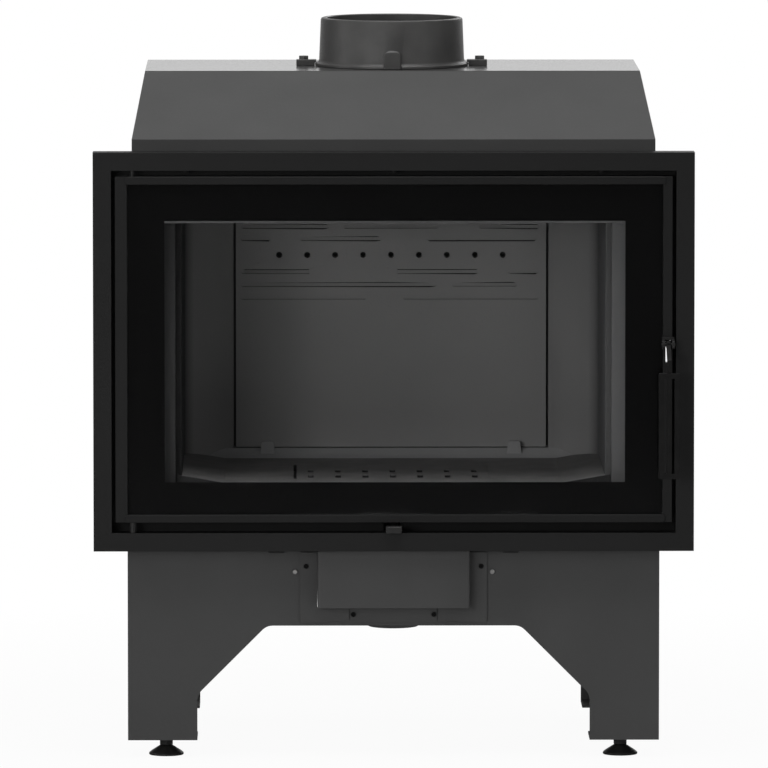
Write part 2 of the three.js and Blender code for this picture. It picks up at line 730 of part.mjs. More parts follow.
// The intake box comes through the front panel of the stand and opens upwards under the casing.
function intakeBox() {
  const s = INTAKE_SHEET;
  const low = FRAME_BOTTOM - FIT; // the front of the box stays under the frame
  const backPart = caseFront + STAND_SHEET + FIT;
  const halfWidth = INTAKE_WIDTH / 2;
  const plan = (inset) =>
    outline([
      [-halfWidth + inset, INTAKE_FRONT + inset, INTAKE_ROUND - inset],
      [halfWidth - inset, INTAKE_FRONT + inset, INTAKE_ROUND - inset],
      [halfWidth - inset, INTAKE_BACK - inset],
      [-halfWidth + inset, INTAKE_BACK - inset],
    ]);
  const outer = cut(
    lying(plan(0), [INTAKE_BOTTOM, standTop]),
    block(across(INTAKE_WIDTH + 2), [INTAKE_FRONT - 1, backPart], [low, standTop + 1]),
  );
  const inner = cut(
    lying(plan(s), [INTAKE_BOTTOM + s, standTop + 1]),
    block(across(INTAKE_WIDTH + 2), [INTAKE_FRONT - 1, backPart + s], [low - s, standTop + 2]),
  );
  const airway = bar(
    "z",
    SPIGOT_RADIUS - SPIGOT_WALL,
    [INTAKE_BOTTOM - 1, INTAKE_BOTTOM + s + 1],
    [0, SPIGOT_BACK],
  );
  return cut(outer, inner, airway);
}

function intakePlate() {
  const sheet = [caseFront - PLATE_SHEET, caseFront];
  const shape = outline([
    [-PLATE_WIDTH / 2, PLATE_BOTTOM, 2],
    [PLATE_WIDTH / 2, PLATE_BOTTOM, 2],
    [PLATE_WIDTH / 2, PLATE_TOP],
    [-PLATE_WIDTH / 2, PLATE_TOP],
  ]);
  const holes = plateScrews.map((at) =>
    bar("y", PLATE_SCREW_SHANK + FIT, [sheet[0] - 1, sheet[1] + 1], at, 10),
  );
  const slitFrom = PLATE_SCREW_LOW_X + PLATE_SLIT_FROM_SCREW;
  const cuts = [-1, 1].flatMap((side) => {
    const ends = ([from, to]) => [side * from, side * to].sort((a, b) => a - b);
    return [
      opening(ends([slitFrom, slitFrom + PLATE_SLIT]), [PLATE_BOTTOM + PLATE_SLIT_END, INTAKE_BOTTOM], sheet),
      opening(ends(PLATE_NOTCH.x), [PLATE_BOTTOM - 1, PLATE_BOTTOM + PLATE_NOTCH.high], sheet),
    ];
  });
  return cut(
    facingFront(shape, sheet, 2),
    opening(intakeHole.x, [intakeHole.z[0], PLATE_TOP + 1], sheet),
    ...holes,
    ...cuts,
  );
}

function intakeSpigot() {
  const top = INTAKE_BOTTOM - FIT;
  const inner = SPIGOT_RADIUS - SPIGOT_WALL;
  return turned(
    [
      [inner, SPIGOT_BOTTOM],
      [SPIGOT_RADIUS - 0.8, SPIGOT_BOTTOM],
      [SPIGOT_RADIUS, SPIGOT_BOTTOM + 1.5],
      [SPIGOT_RADIUS, top - 2],
      [SPIGOT_FLANGE, top - 2],
      [SPIGOT_FLANGE, top],
      [inner, top],
      [inner, SPIGOT_BOTTOM],
    ],
    [0, SPIGOT_BACK],
    40,
  );
}

// ---------------------------------------------------------------- air control

const slidePlate = {
  front: AIR_SLOT_FRONT - (SLIDE_LENGTH - AIR_SLOT_LENGTH) / 2,
  bottom: floorTop + FIT,
};
slidePlate.back = slidePlate.front + SLIDE_LENGTH;
slidePlate.top = slidePlate.bottom + SLIDE_SHEET;
const knobBack = -KNOB_PROUD + KNOB_DEEP;

// The slide covers the slot in the floor while the knob is pushed in.
function airSlide() {
  const plate = block(across(SLIDE_WIDTH), [slidePlate.front, slidePlate.back], [
    slidePlate.bottom,
    slidePlate.top,
  ]);
  const ear = block([-6, 6], [slidePlate.front, slidePlate.front + 3], [
    slidePlate.bottom,
    ROD_HEIGHT + ROD_RADIUS + 2,
  ]);
  return join(plate, ear);
}

function airRod() {
  return bar("y", ROD_RADIUS, [knobBack + FIT, slidePlate.front - FIT], [0, ROD_HEIGHT], 16);
}

function airKnob() {
  const half = KNOB_WIDTH / 2;
  const shape = outline([
    [-half, -KNOB_PROUD, 2],
    [half, -KNOB_PROUD, 2],
    [half, knobBack],
    [-half, knobBack],
  ]);
  return lying(shape, [ROD_HEIGHT - KNOB_HEIGHT / 2, ROD_HEIGHT + KNOB_HEIGHT / 2], 3);
}

// ---------------------------------------------------------------- lining of the fire chamber

const backLiningHalf = BACK_LINING_WIDTH / 2;
const ledgeTop = HEARTH_TOP + LEDGE_RISE;
const liningBack = caseBack - DUCT_SPACE;
const liningFront = liningBack - BACK_LINING_THICK;

// Each side lining runs straight back and turns a round corner to meet the back lining.
const corner = { radius: SIDE_LINING_HALF_WIDTH - (backLiningHalf + SIDE_LINING_GAP) };
corner.x = SIDE_LINING_HALF_WIDTH - corner.radius;
corner.y = liningFront - corner.radius;

function sideLiningPlan(spare) {
  const { radius, x, y } = corner;
  const inner = radius - spare;
  const outer = radius + SIDE_LINING_THICK + spare;
  const shape = new THREE.Shape();
  shape.moveTo(x + inner, SIDE_LINING_FRONT - spare);
  shape.lineTo(x + outer, SIDE_LINING_FRONT - spare);
  shape.absarc(x, y, outer, 0, Math.PI / 2, false);
  shape.lineTo(x - spare, y + outer);
  shape.lineTo(x - spare, y + inner);
  shape.absarc(x, y, inner, Math.PI / 2, 0, true);
  shape.closePath();
  return shape;
}

function sideLining(side) {
  const panel = lying(sideLiningPlan(0), [HEARTH_TOP + FIT, BACK_LINING_TOP - SIDE_LINING_LOW], 16);
  return side > 0 ? panel : panel.mirror([1, 0, 0]);
}

function backLining() {
  const [front, half] = [liningFront, GROOVE_WIDTH / 2];
  const grooves = GROOVE_ROWS.flatMap(({ over, runs }) =>
    runs.map(([from, to]) => {
      const z = AIR_HOLE_HEIGHT + over;
      const shape = outline([
        [from, z - half, half * 0.9],
        [to, z - half, half * 0.9],
        [to, z + half, half * 0.9],
        [from, z + half, half * 0.9],
      ]);
      return facingFront(shape, [front - 1, front + GROOVE_DEPTH], 3);
    }),
  );
  const holes = Array.from({ length: AIR_HOLES }, (_, i) => {
    const x = (i - (AIR_HOLES - 1) / 2) * AIR_HOLE_PITCH;
    return bar("y", AIR_HOLE_RADIUS, [front - 1, liningBack + 1], [x, AIR_HOLE_HEIGHT], 16);
  });
  const slab = block([-backLiningHalf, backLiningHalf], [front, liningBack], [
    ledgeTop + FIT,
    BACK_LINING_TOP,
  ]);
  return cut(slab, ...grooves, ...holes);
}

const grate = {
  x: across(GRATE_WIDTH),
  y: [GRATE_FRONT, GRATE_FRONT + GRATE_LENGTH],
  bottom: HEARTH_TOP - GRATE_THICK,
};

// The sloped ledge along the back of the hearth; the lining stands on its level top.
function hearthLedge(spare) {
  return sideways(
    outline([
      [liningFront - LEDGE_RUN - spare, HEARTH_TOP - 1],
      [liningBack, HEARTH_TOP - 1],
      [liningBack, ledgeTop + spare],
      [liningFront - LEDGE_FLAT - spare, ledgeTop + spare],
      [liningFront - LEDGE_RUN - spare, HEARTH_TOP + spare],
    ]),
    [-HEARTH_HALF_WIDTH, HEARTH_HALF_WIDTH],
  );
}

// The cast hearth stands on the floor of the shell, hollow below, and rises a little along both sides.
function hearthBase() {
  const half = HEARTH_HALF_WIDTH;
  const hollowTop = HEARTH_TOP - HEARTH_THICK;
  const hollow = [HEARTH_FRONT + HEARTH_FRONT_WALL, liningBack - HEARTH_BACK_WALL];
  const body = block([-half, half], [HEARTH_FRONT, liningBack], [floorTop + FIT, HEARTH_TOP]);
  const flank = facingFront(
    outline([
      [FLANK_FOOT, HEARTH_TOP - 1],
      [half, HEARTH_TOP - 1],
      [half, HEARTH_TOP + FLANK_RISE],
      [FLANK_FOOT, HEARTH_TOP],
    ]),
    [HEARTH_FRONT, liningFront],
  );
  const room = lying(sideLiningPlan(FIT), [HEARTH_TOP, ledgeTop + 1], 16);
  const rim = cut(join(hearthLedge(0), flank, flank.mirror([1, 0, 0])), room, room.mirror([1, 0, 0]));
  const [gx, gy] = [grate.x, grate.y];
  return cut(
    join(body, rim),
    block([-half + HEARTH_WALL, half - HEARTH_WALL], hollow, [floorTop, hollowTop]),
    block(across(DUCT_PASSAGE), [hollow[1] - 1, liningBack + 1], [floorTop, hollowTop - 10]),
    block(across(ROD_PASSAGE), [HEARTH_FRONT - 1, hollow[0] + 1], [floorTop, ROD_HEIGHT + ROD_RADIUS + 4]),
    block([gx[0] - GRATE_LIFT, gx[1] + FIT], [gy[0] - FIT, gy[1] + FIT], [
      grate.bottom - FIT,
      HEARTH_TOP + 1,
    ]),
    block([gx[0] + GRATE_LAP, gx[1] - GRATE_LAP], [gy[0] + GRATE_LAP, gy[1] - GRATE_LAP], [
      hollowTop - 1,
      HEARTH_TOP,
    ]),
  );
}

function hearthGrate() {
  const firstRow = GRATE_FRONT + GRATE_FIRST_ROW;
  const rows = [firstRow, firstRow + GRATE_ROW_PITCH];
  const holes = rows.flatMap((y) =>
    Array.from({ length: GRATE_HOLES }, (_, i) => {
      const x = (i - (GRATE_HOLES - 1) / 2) * GRATE_PITCH;
      const corners = [[-1, -1], [1, -1], [1, 1], [-1, 1]].map(([across, along]) => [
        x + across * GRATE_HOLE_RADIUS,
        y + (along * GRATE_SLOT) / 2,
        GRATE_HOLE_RADIUS * 0.9,
      ]);
      return lying(outline(corners), [grate.bottom - 1, HEARTH_TOP + 1], 3);
    }),
  );
  return cut(block(grate.x, grate.y, [grate.bottom, HEARTH_TOP]), ...holes);
}

// A small cast stop on the ledge keeps the foot of the back lining from sliding forward.
function liningStop(side) {
  const [x, half] = [side * STOP_X, STOP_WIDTH / 2];
  const [foot, top] = [HEARTH_TOP + FIT, ledgeTop + STOP_HEIGHT];
  const shape = outline([
    [x - half, foot],
    [x + half, foot],
    [x + half - STOP_DRAFT, top, 3],
    [x - half + STOP_DRAFT, top, 3],
  ]);
  const body = facingFront(shape, [liningFront - FIT - STOP_THICK, liningFront - FIT]);
  return cut(body, hearthLedge(FIT));
}

// The baffle leans up to the front; its back edge lies on the back lining, its sides on two rails.
const slope = THREE.MathUtils.degToRad(BAFFLE_SLOPE);
const baffle = {
  foot: BACK_LINING_TOP + FIT,
  half: caseHalf - CASE_SHEET - BAFFLE_SIDE_ROOM,
};
// height of the underside of the baffle over a place Y
const baffleUnder = (y) => baffle.foot + (liningBack - y) * Math.tan(slope);

function slopedSlab([y0, y1], below, thick, x) {
  const at = (y, up) => [y, baffleUnder(y) - below + up];
  return sideways(outline([at(y0, -thick), at(y1, -thick), at(y1, 0), at(y0, 0)]), x);
}

function baffleBoard() {
  const thick = BAFFLE_THICK / Math.cos(slope);
  return slopedSlab([BAFFLE_FRONT, liningBack], -thick, thick, [-baffle.half, baffle.half]);
}

function baffleRail(side) {
  const wall = caseHalf - CASE_SHEET - FIT;
  const run = [BAFFLE_FRONT + 10, liningBack - 4];
  const shelf = slopedSlab(run, FIT, RAIL_SHEET, [wall - RAIL_SHELF, wall]);
  const flank = slopedSlab(run, FIT, RAIL_FLANK, [wall - RAIL_SHEET, wall]);
  const angle = join(shelf, flank);
  return side > 0 ? angle : angle.mirror([1, 0, 0]);
}

// A folded strip behind the top of the opening turns fresh air down over the glass.
function airWashStrip() {
  const s = WASH_SHEET;
  const start = shellFront + FIT;
  const foot = SEAT_TOP + CASE_SHEET + FIT;
  const profile = outline([
    [start, foot],
    [start + WASH_DEPTH - s, foot],
    [start + WASH_DEPTH - s, foot - WASH_LIP],
    [start + WASH_DEPTH, foot - WASH_LIP],
    [start + WASH_DEPTH, foot + s],
    [start + s, foot + s],
    [start + s, foot + WASH_UPRIGHT],
    [start, foot + WASH_UPRIGHT],
  ]);
  return sideways(profile, across(2 * (SEAT_HALF_WIDTH - WASH_SIDE_ROOM)));
}

// The duct behind the back lining feeds the row of air holes; its open front is closed by the lining.
function airDuct() {
  const s = DUCT_SHEET;
  const y = [liningBack + FIT, caseBack - CASE_SHEET - FIT];
  const half = (AIR_HOLES * AIR_HOLE_PITCH) / 2;
  const [foot, top] = [floorTop + FIT, AIR_HOLE_HEIGHT + DUCT_OVER_HOLES];
  return cut(
    block([-half, half], y, [foot, top]),
    block([-half + s, half - s], [y[0] - 1, y[1] - s], [foot - 1, top - s]),
  );
}

// ---------------------------------------------------------------- door

const sight = {
  x: [glassPocket.left + SIGHT_BORDER_SIDE, glassPocket.right - SIGHT_BORDER_SIDE],
  z: [glassPocket.bottom + SIGHT_BORDER_BOTTOM, glassPocket.top - SIGHT_BORDER_TOP],
};
const rope = {
  x: sight.x[1] + ROPE_BESIDE, // inner edge of the rope, both sides
  z: [sight.z[0] - ROPE_BELOW, sight.z[1] + ROPE_ABOVE], // inner edges, below and above
  y: [door.back - ROPE_GROOVE, caseFront - FIT],
};
// The tongue of the handle swings down in this slot through the latch stile.
const stileSlot = {
  x: [handleX - STILE_SLOT_WIDTH / 2, handleX + STILE_SLOT_WIDTH / 2],
  z: [HANDLE_PIVOT_HEIGHT - STILE_SLOT_BELOW, HANDLE_PIVOT_HEIGHT + STILE_SLOT_ABOVE],
};

function ropeRing(width, y) {
  const spare = (width - ROPE) / 2;
  const outer = outline([
    [-rope.x - ROPE - spare, rope.z[0] - ROPE - spare, 12],
    [rope.x + ROPE + spare, rope.z[0] - ROPE - spare, 12],
    [rope.x + ROPE + spare, rope.z[1] + ROPE + spare, 12],
    [-rope.x - ROPE - spare, rope.z[1] + ROPE + spare, 12],
  ]);
  const inner = outline([
    [-rope.x + spare, rope.z[0] + spare, 5],
    [rope.x - spare, rope.z[0] + spare, 5],
    [rope.x - spare, rope.z[1] - spare, 5],
    [-rope.x + spare, rope.z[1] - spare, 5],
  ]);
  return cut(facingFront(outer, y), facingFront(inner, [y[0] - 1, y[1] + 1]));
}

function doorFrame() {
  const [x, z] = [[door.left, door.right], [door.bottom, door.top]];
  const blockHalf = HINGE_BLOCK / 2;
  const thin = door.front + STILE_SHEET;
  const beyondPins = block([door.left - 1, hingeX - blockHalf], [thin, door.back + 1], [z[0] - 1, z[1] + 1]);
  const betweenPins = block([hingeX - blockHalf - 1, hingeX + 0.5], [thin, door.back + 1], [
    z[0] + PIN_INTO_DOOR + 3,
    z[1] - PIN_INTO_DOOR - 3,
  ]);
  const behindPins = block(
    [hingeX - blockHalf - 1, hingeX + 0.5],
    [PIN_BACK + blockHalf, door.back + 1],
    [z[0] - 1, z[1] + 1],
  );
  const bore = PIN_RADIUS + PIN_RUNNING_GAP;
  return cut(
    block(x, [door.front, door.back], z),
    block(
      [glassPocket.left, glassPocket.right],
      [door.front - 1, glassBack + FIT],
      [glassPocket.bottom, glassPocket.top],
    ),
    opening(sight.x, sight.z, [door.front, door.back]),
    beyondPins,
    betweenPins,
    behindPins,
    bar("z", bore, [z[0] - 1, z[0] + PIN_INTO_DOOR + FIT], hingeAt, 24),
    bar("z", bore, [z[1] - PIN_INTO_DOOR - FIT, z[1] + 1], hingeAt, 24),
    ropeRing(ROPE + 2 * FIT, [door.back - ROPE_GROOVE - FIT, door.back + 1]),
    opening(stileSlot.x, stileSlot.z, [door.front, door.back]),
  );
}

function doorGlass() {
  return block(
    [glassPocket.left + FIT, glassPocket.right - FIT],
    [glassFront, glassBack],
    [glassPocket.bottom + FIT, glassPocket.top - FIT],
  );
}

// Rails with rounded ends lie over the upper and the lower edge of the glass.
function glassRail(z0) {
  const [from, to] = [glassPocket.left - BAR_OVERHANG, glassPocket.right + BAR_OVERHANG];
  const shape = outline([
    [from, z0, BAR_ROUND],
    [to, z0, BAR_ROUND],
    [to, z0 + BAR_HEIGHT, BAR_ROUND],
    [from, z0 + BAR_HEIGHT, BAR_ROUND],
  ]);
  return facingFront(shape, [door.front - FIT - BAR_THICK, door.front - FIT]);
}

// ---------------------------------------------------------------- handle and latch

const pinEnds = [handleX - HANDLE_PIN_LENGTH / 2, handleX + HANDLE_PIN_LENGTH / 2];
const gripBack = -GRIP_FRONT + GRIP_THICK;

// Two ears on the latch stile carry the pivot pin of the lever.
function handleBracket() {
  const profile = outline([
    [door.front - FIT, HANDLE_PIVOT_HEIGHT - EAR_HALF],
    [door.front - FIT, HANDLE_PIVOT_HEIGHT + EAR_HALF],
    [pivotY - EAR_HALF + 1, HANDLE_PIVOT_HEIGHT + EAR_HALF - 1, 4],
    [pivotY - EAR_HALF + 1, HANDLE_PIVOT_HEIGHT - EAR_HALF + 1, 4],
  ]);
  const ears = [pinEnds[0], pinEnds[1] - EAR_THICK].map((x) => sideways(profile, [x, x + EAR_THICK], 4));
  const tie = block([pinEnds[0], pinEnds[1]], [door.front - FIT - 1.5, door.front - FIT], [
    HANDLE_PIVOT_HEIGHT + 5,
    HANDLE_PIVOT_HEIGHT + 8.5,
  ]);
  const bore = bar("x", HANDLE_PIN_RADIUS + PIN_RUNNING_GAP, [pinEnds[0] - 1, pinEnds[1] + 1], [
    pivotY,
    HANDLE_PIVOT_HEIGHT,
  ], 16);
  return cut(join(...ears, tie), bore);
}

function handlePin() {
  return bar("x", HANDLE_PIN_RADIUS, [pinEnds[0] - 1, pinEnds[1] + 1], [pivotY, HANDLE_PIVOT_HEIGHT], 16);
}

// One bent flat bar: the arm runs down and out to the grip, the tongue back through the door.
function handleLever() {
  const z = HANDLE_PIVOT_HEIGHT;
  const half = ARM_THICK / 2;
  const gripY = (gripBack - GRIP_FRONT) / 2;
  const arm = new THREE.Shape();
  arm.moveTo(pivotY - half, z);
  arm.lineTo(gripY - half, z - ARM_DROP);
  arm.lineTo(gripY - half, gripTop + FIT);
  arm.lineTo(gripY + half, gripTop + FIT);
  arm.lineTo(gripY + half, z - ARM_DROP - 3);
  arm.lineTo(pivotY + half, z - 4.6);
  arm.lineTo(TONGUE_REACH, z - half - 1);
  arm.quadraticCurveTo(TONGUE_REACH + TONGUE_DROP, z - half, TONGUE_REACH + TONGUE_DROP, z);
  arm.lineTo(TONGUE_REACH, z + half);
  arm.lineTo(pivotY, z + half + 2);
  arm.quadraticCurveTo(pivotY - half - 1, z + half + 1, pivotY - half, z);
  arm.closePath();
  const width = [handleX - ARM_WIDTH / 2, handleX + ARM_WIDTH / 2];
  const bore = bar("x", HANDLE_PIN_RADIUS + PIN_RUNNING_GAP, [width[0] - 1, width[1] + 1], [pivotY, z], 16);
  return cut(sideways(arm, width, 5), bore);
}

// The grip is a flat bar with two long slots, which keep it cool.
function handleGrip() {
  const [half, bottom] = [GRIP_WIDTH / 2, gripTop - GRIP_LENGTH];
  const shape = outline([
    [handleX - half, bottom, GRIP_ROUND],
    [handleX + half, bottom, GRIP_ROUND],
    [handleX + half, gripTop, GRIP_ROUND],
    [handleX - half, gripTop, GRIP_ROUND],
  ]);
  const slots = [-1, 1].map((side) => {
    const near = handleX + (side * GRIP_RIB) / 2;
    const far = near + side * GRIP_SLOT;
    return opening([Math.min(near, far), Math.max(near, far)], [bottom + GRIP_END, gripTop - GRIP_END], [
      -GRIP_FRONT,
      gripBack,
    ]);
  });
  return cut(facingFront(shape, [-GRIP_FRONT, gripBack], 3), ...slots);
}

// The keeper behind the seat plate: the tongue slips under its rounded, sprung nose.
function latchKeeper() {
  const bottom = HANDLE_PIVOT_HEIGHT + ARM_THICK / 2 + FIT + 0.5;
  const x = [latchSlot.x[0] - 4, latchSlot.x[1] + 4];
  const nose = bar("x", KEEPER_ROLLER, x, [TONGUE_REACH + 1, bottom + KEEPER_ROLLER], 20);
  const back = [shellFront + FIT, shellFront + FIT + 3];
  const plate = block(x, back, [latchSlot.z[1] + 1, latchSlot.z[1] + 16]);
  const arm = block(x, [back[0], TONGUE_REACH + 2], [bottom + KEEPER_ROLLER, bottom + KEEPER_ROLLER + 5]);
  const foot = block(x, back, [bottom + KEEPER_ROLLER, latchSlot.z[1] + 2]);
  return join(nose, arm, plate, foot);
}

// ---------------------------------------------------------------- finishes

const finish = (color, roughness, metalness, more = {}) =>
  new THREE.MeshStandardMaterial({ color, roughness, metalness, ...more });

const FINISH = {
  hoodPaint: finish(0x45474a, 0.62, 0.15), // satin stove paint, dark grey
  framePaint: finish(0x1b1c1d, 0.55, 0.2), // nearly black
  doorPaint: finish(0x161718, 0.5, 0.2),
  collarPaint: finish(0x2f3032, 0.55, 0.25),
  standPaint: finish(0x3c3e40, 0.65, 0.15),
  bareSteel: finish(0x6f7072, 0.45, 0.8),
  blackSteel: finish(0x101011, 0.5, 0.5),
  glass: finish(0x0b0c0d, 0.05, 0, { transparent: true, opacity: 0.35 }),
  rope: finish(0x2a2a2a, 0.95, 0),
  lining: finish(0x4b4b4a, 0.9, 0),
  hearth: finish(0x3d3d3c, 0.85, 0.1),
};

// ---------------------------------------------------------------- assembly

const insert = new THREE.Group();
insert.position.y = -depthMiddle;

function group() {
  const made = new THREE.Group();
  insert.add(made);
  return made;
}

function add(parent, name, body, material) {
  const mesh = new THREE.Mesh(geometryOf(body), material);
  mesh.name = name;
  parent.add(mesh);
}

const sides = [
  ["left", -1],
  ["right", 1],
];

// what stands still
const casing = group();
add(casing, "firebox_shell", fireboxShell(), FINISH.hoodPaint);
add(casing, "door_seat", doorSeat(), FINISH.framePaint);
add(casing, "hood", hood(), FINISH.hoodPaint);
add(casing, "flue_collar", flueCollar(), FINISH.collarPaint);
add(casing, "front_frame", frontFrame(), FINISH.framePaint);
add(casing, "hinge_top", hingeTop(), FINISH.blackSteel);
add(casing, "hinge_bottom", hingeBottom(), FINISH.blackSteel);
add(casing, "latch_keeper", latchKeeper(), FINISH.bareSteel);
for (const [side, sign] of sides) add(casing, `collar_clamp_${side}`, collarClamp(sign), FINISH.collarPaint);
frameScrewX.forEach((x, i) => {
  const at = [x, FRAME_SCREW_BACK];
  const body = screwZ(at, openingTop, FRAME_SCREW_HEAD, FRAME_SCREW_SHANK, FRAME_SHEET + 2);
  add(casing, `frame_screw_${i + 1}`, body, FINISH.blackSteel);
});

const lining = group();
add(lining, "hearth_base", hearthBase(), FINISH.hearth);
add(lining, "hearth_grate", hearthGrate(), FINISH.hearth);
add(lining, "back_lining", backLining(), FINISH.lining);
add(lining, "baffle_board", baffleBoard(), FINISH.lining);
add(lining, "air_wash_strip", airWashStrip(), FINISH.framePaint);
add(lining, "air_duct", airDuct(), FINISH.blackSteel);
for (const [side, sign] of sides) {
  add(lining, `side_lining_${side}`, sideLining(sign), FINISH.lining);
  add(lining, `baffle_rail_${side}`, baffleRail(sign), FINISH.blackSteel);
  add(lining, `lining_stop_${side}`, liningStop(sign), FINISH.hearth);
}

const stand = group();
add(stand, "stand_front_panel", standPanel(true), FINISH.standPaint);
add(stand, "stand_rear_panel", standPanel(false), FINISH.standPaint);
for (const [side, sign] of sides) add(stand, `side_apron_${side}`, sideApron(sign), FINISH.standPaint);
add(stand, "intake_plate", intakePlate(), FINISH.standPaint);
add(stand, "intake_box", intakeBox(), FINISH.standPaint);
add(stand, "intake_spigot", intakeSpigot(), FINISH.standPaint);
plateScrews.forEach((at, i) => {
  const seatY = caseFront - PLATE_SHEET;
  const body = screwY(at, seatY, PLATE_SCREW_HEAD, PLATE_SCREW_SHANK, PLATE_SHEET + STAND_SHEET + 3);
  add(stand, `plate_screw_${i + 1}`, body, FINISH.blackSteel);
});
panelScrews.forEach((at, i) => {
  const body = screwY(at, caseFront, PLATE_SCREW_HEAD, PLATE_SCREW_SHANK, STAND_SHEET + 3);
  add(stand, `panel_screw_${i + 1}`, body, FINISH.bareSteel);
});

// levelling feet, each with its lock nut under the leg
for (const [side, sign] of sides) {
  for (const end of ["front", "rear"]) {
    const at = [sign * footX, footY[end]];
    add(stand, `foot_nut_${end}_${side}`, footNutAt(...at), FINISH.blackSteel);
    add(group(), `foot_${end}_${side}`, footAt(...at), FINISH.blackSteel);
  }
}

// the door and all that swings with it
const doorLeaf = group();
add(doorLeaf, "door_frame", doorFrame(), FINISH.doorPaint);
add(doorLeaf, "door_glass", doorGlass(), FINISH.glass);
add(doorLeaf, "door_rope", ropeRing(ROPE, rope.y), FINISH.rope);
add(doorLeaf, "glass_rail_top", glassRail(door.top - BAR_HEIGHT), FINISH.doorPaint);
add(doorLeaf, "glass_rail_bottom", glassRail(door.bottom), FINISH.doorPaint);
add(doorLeaf, "handle_bracket", handleBracket(), FINISH.blackSteel);
add(doorLeaf, "handle_pin", handlePin(), FINISH.blackSteel);

// the lever turns on its pin
const handle = group();
add(handle, "handle_lever", handleLever(), FINISH.blackSteel);
add(handle, "handle_grip", handleGrip(), FINISH.blackSteel);

// the air control slides from front to back
const airControl = group();
add(airControl, "air_knob", airKnob(), FINISH.blackSteel);
add(airControl, "air_rod", airRod(), FINISH.bareSteel);
add(airControl, "air_slide", airSlide(), FINISH.bareSteel);

export default insert;
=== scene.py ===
# %% [markdown] # A steel fireplace insert The insert is a welded firebox on a folded stand, with a glazed
# door in a black frame, a painted hood and a cast flue collar. The packed model already holds every piece
# at its real size, so this file gives the pieces their finish, softens their edges and adds what is too
# fine for the solids: the print on the glass, the braid of the rope seal, the sockets of the screws and the
# threads of the feet. Everything is in metres, with +Z up and the door facing -Y.

# %% Load the pieces
import json
import math

import bmesh
import bpy
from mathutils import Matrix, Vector


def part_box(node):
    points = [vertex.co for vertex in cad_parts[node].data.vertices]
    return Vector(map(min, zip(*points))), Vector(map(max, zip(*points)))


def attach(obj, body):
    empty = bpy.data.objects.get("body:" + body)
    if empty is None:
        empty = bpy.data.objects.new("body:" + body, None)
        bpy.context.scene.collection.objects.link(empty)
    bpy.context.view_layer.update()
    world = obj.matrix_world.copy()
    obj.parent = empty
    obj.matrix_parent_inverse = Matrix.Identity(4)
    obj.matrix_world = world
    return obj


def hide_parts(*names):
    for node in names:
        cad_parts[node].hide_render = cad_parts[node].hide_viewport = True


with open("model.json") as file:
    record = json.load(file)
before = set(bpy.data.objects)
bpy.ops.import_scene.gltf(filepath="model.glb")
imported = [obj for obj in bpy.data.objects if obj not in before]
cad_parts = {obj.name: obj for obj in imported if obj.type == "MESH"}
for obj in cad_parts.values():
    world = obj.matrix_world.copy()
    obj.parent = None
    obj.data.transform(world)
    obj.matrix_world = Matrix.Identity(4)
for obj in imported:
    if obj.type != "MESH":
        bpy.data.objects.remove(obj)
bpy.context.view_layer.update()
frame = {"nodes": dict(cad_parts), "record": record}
MM = 0.001

# %% [markdown]
# ## The camera
# The photograph was taken from far away: the sides of the frame run parallel, and the flue collar is a flat
# ellipse. Twelve metres and a very long lens give that look. The camera stands a little to the left and
# about five degrees above, and it is turned by a few pixels so that the insert sits where it sits in the
# photograph.

# %% Camera
PICTURE_SIDE = 768  # pixels
FOCAL_PIXELS = 9840
SENSOR_WIDTH = 36.0
CAMERA_DISTANCE = 12.0
CAMERA_SIDEWAYS = math.radians(0.575)
CAMERA_ABOVE = math.radians(5.25)
AIM = Vector((0, -0.030, 0.450))
AIM_RIGHT_OF_MIDDLE = 8.6  # pixels
AIM_ABOVE_MIDDLE = 5.9
FARTHEST_SEEN = 100.0


def looking(sideways, above):
    """The direction that a camera looks in, from its two angles."""
    return Vector((
        math.sin(sideways) * math.cos(above),
        math.cos(sideways) * math.cos(above),
        -math.sin(above),
    ))


lens_data = bpy.data.cameras.new("camera")
lens_data.sensor_width = SENSOR_WIDTH
lens_data.lens = FOCAL_PIXELS / PICTURE_SIDE * SENSOR_WIDTH
lens_data.clip_end = FARTHEST_SEEN
camera = bpy.data.objects.new("camera", lens_data)
camera.location = AIM - CAMERA_DISTANCE * looking(CAMERA_SIDEWAYS, CAMERA_ABOVE)
turned = looking(
    CAMERA_SIDEWAYS - AIM_RIGHT_OF_MIDDLE / FOCAL_PIXELS,
    CAMERA_ABOVE + AIM_ABOVE_MIDDLE / FOCAL_PIXELS,
)
camera.rotation_euler = turned.to_track_quat("-Z", "Y").to_euler()
bpy.context.scene.collection.objects.link(camera)
bpy.context.scene.camera = camera
print("camera at", tuple(round(value, 2) for value in camera.location))

# %% [markdown]
# ## Building a finish from nodes
# A finish is a small tree of nodes that ends in a shader. A picture could be wrapped round each piece
# instead, but then every piece would need its own map. Noise in the coordinates of the piece needs none,
# and it fits any shape. `node` adds a node and sets its options, and `new_finish` starts a tree.

# %% Helpers that start a finish
def node(tree, kind, **options):
    """Adds a shader node and sets its options."""
    made = tree.nodes.new("ShaderNode" + kind)
    for option, value in options.items():
        setattr(made, option, value)
    return made


def new_finish(name):
    """An empty finish with its shader, and the place of a point on the piece."""
    material = bpy.data.materials.new(name)
    material.use_nodes = True
    tree = material.node_tree
    shader = tree.nodes["Principled BSDF"]
    place = node(tree, "TexCoord").outputs["Object"]
    return material, tree, shader, place


print("helper ready:", new_finish.__doc__)

# %% [markdown]
# ### Noise
# The skin of a casting, the orange peel of paint and the clouds between two coats are all noise of
# different sizes. Object coordinates are metres here, so a scale of 1000 gives grains of about one
# millimetre. `stretched` draws the pattern out along one axis, as brushing does, and `spread` maps the
# noise to the range that a setting needs.

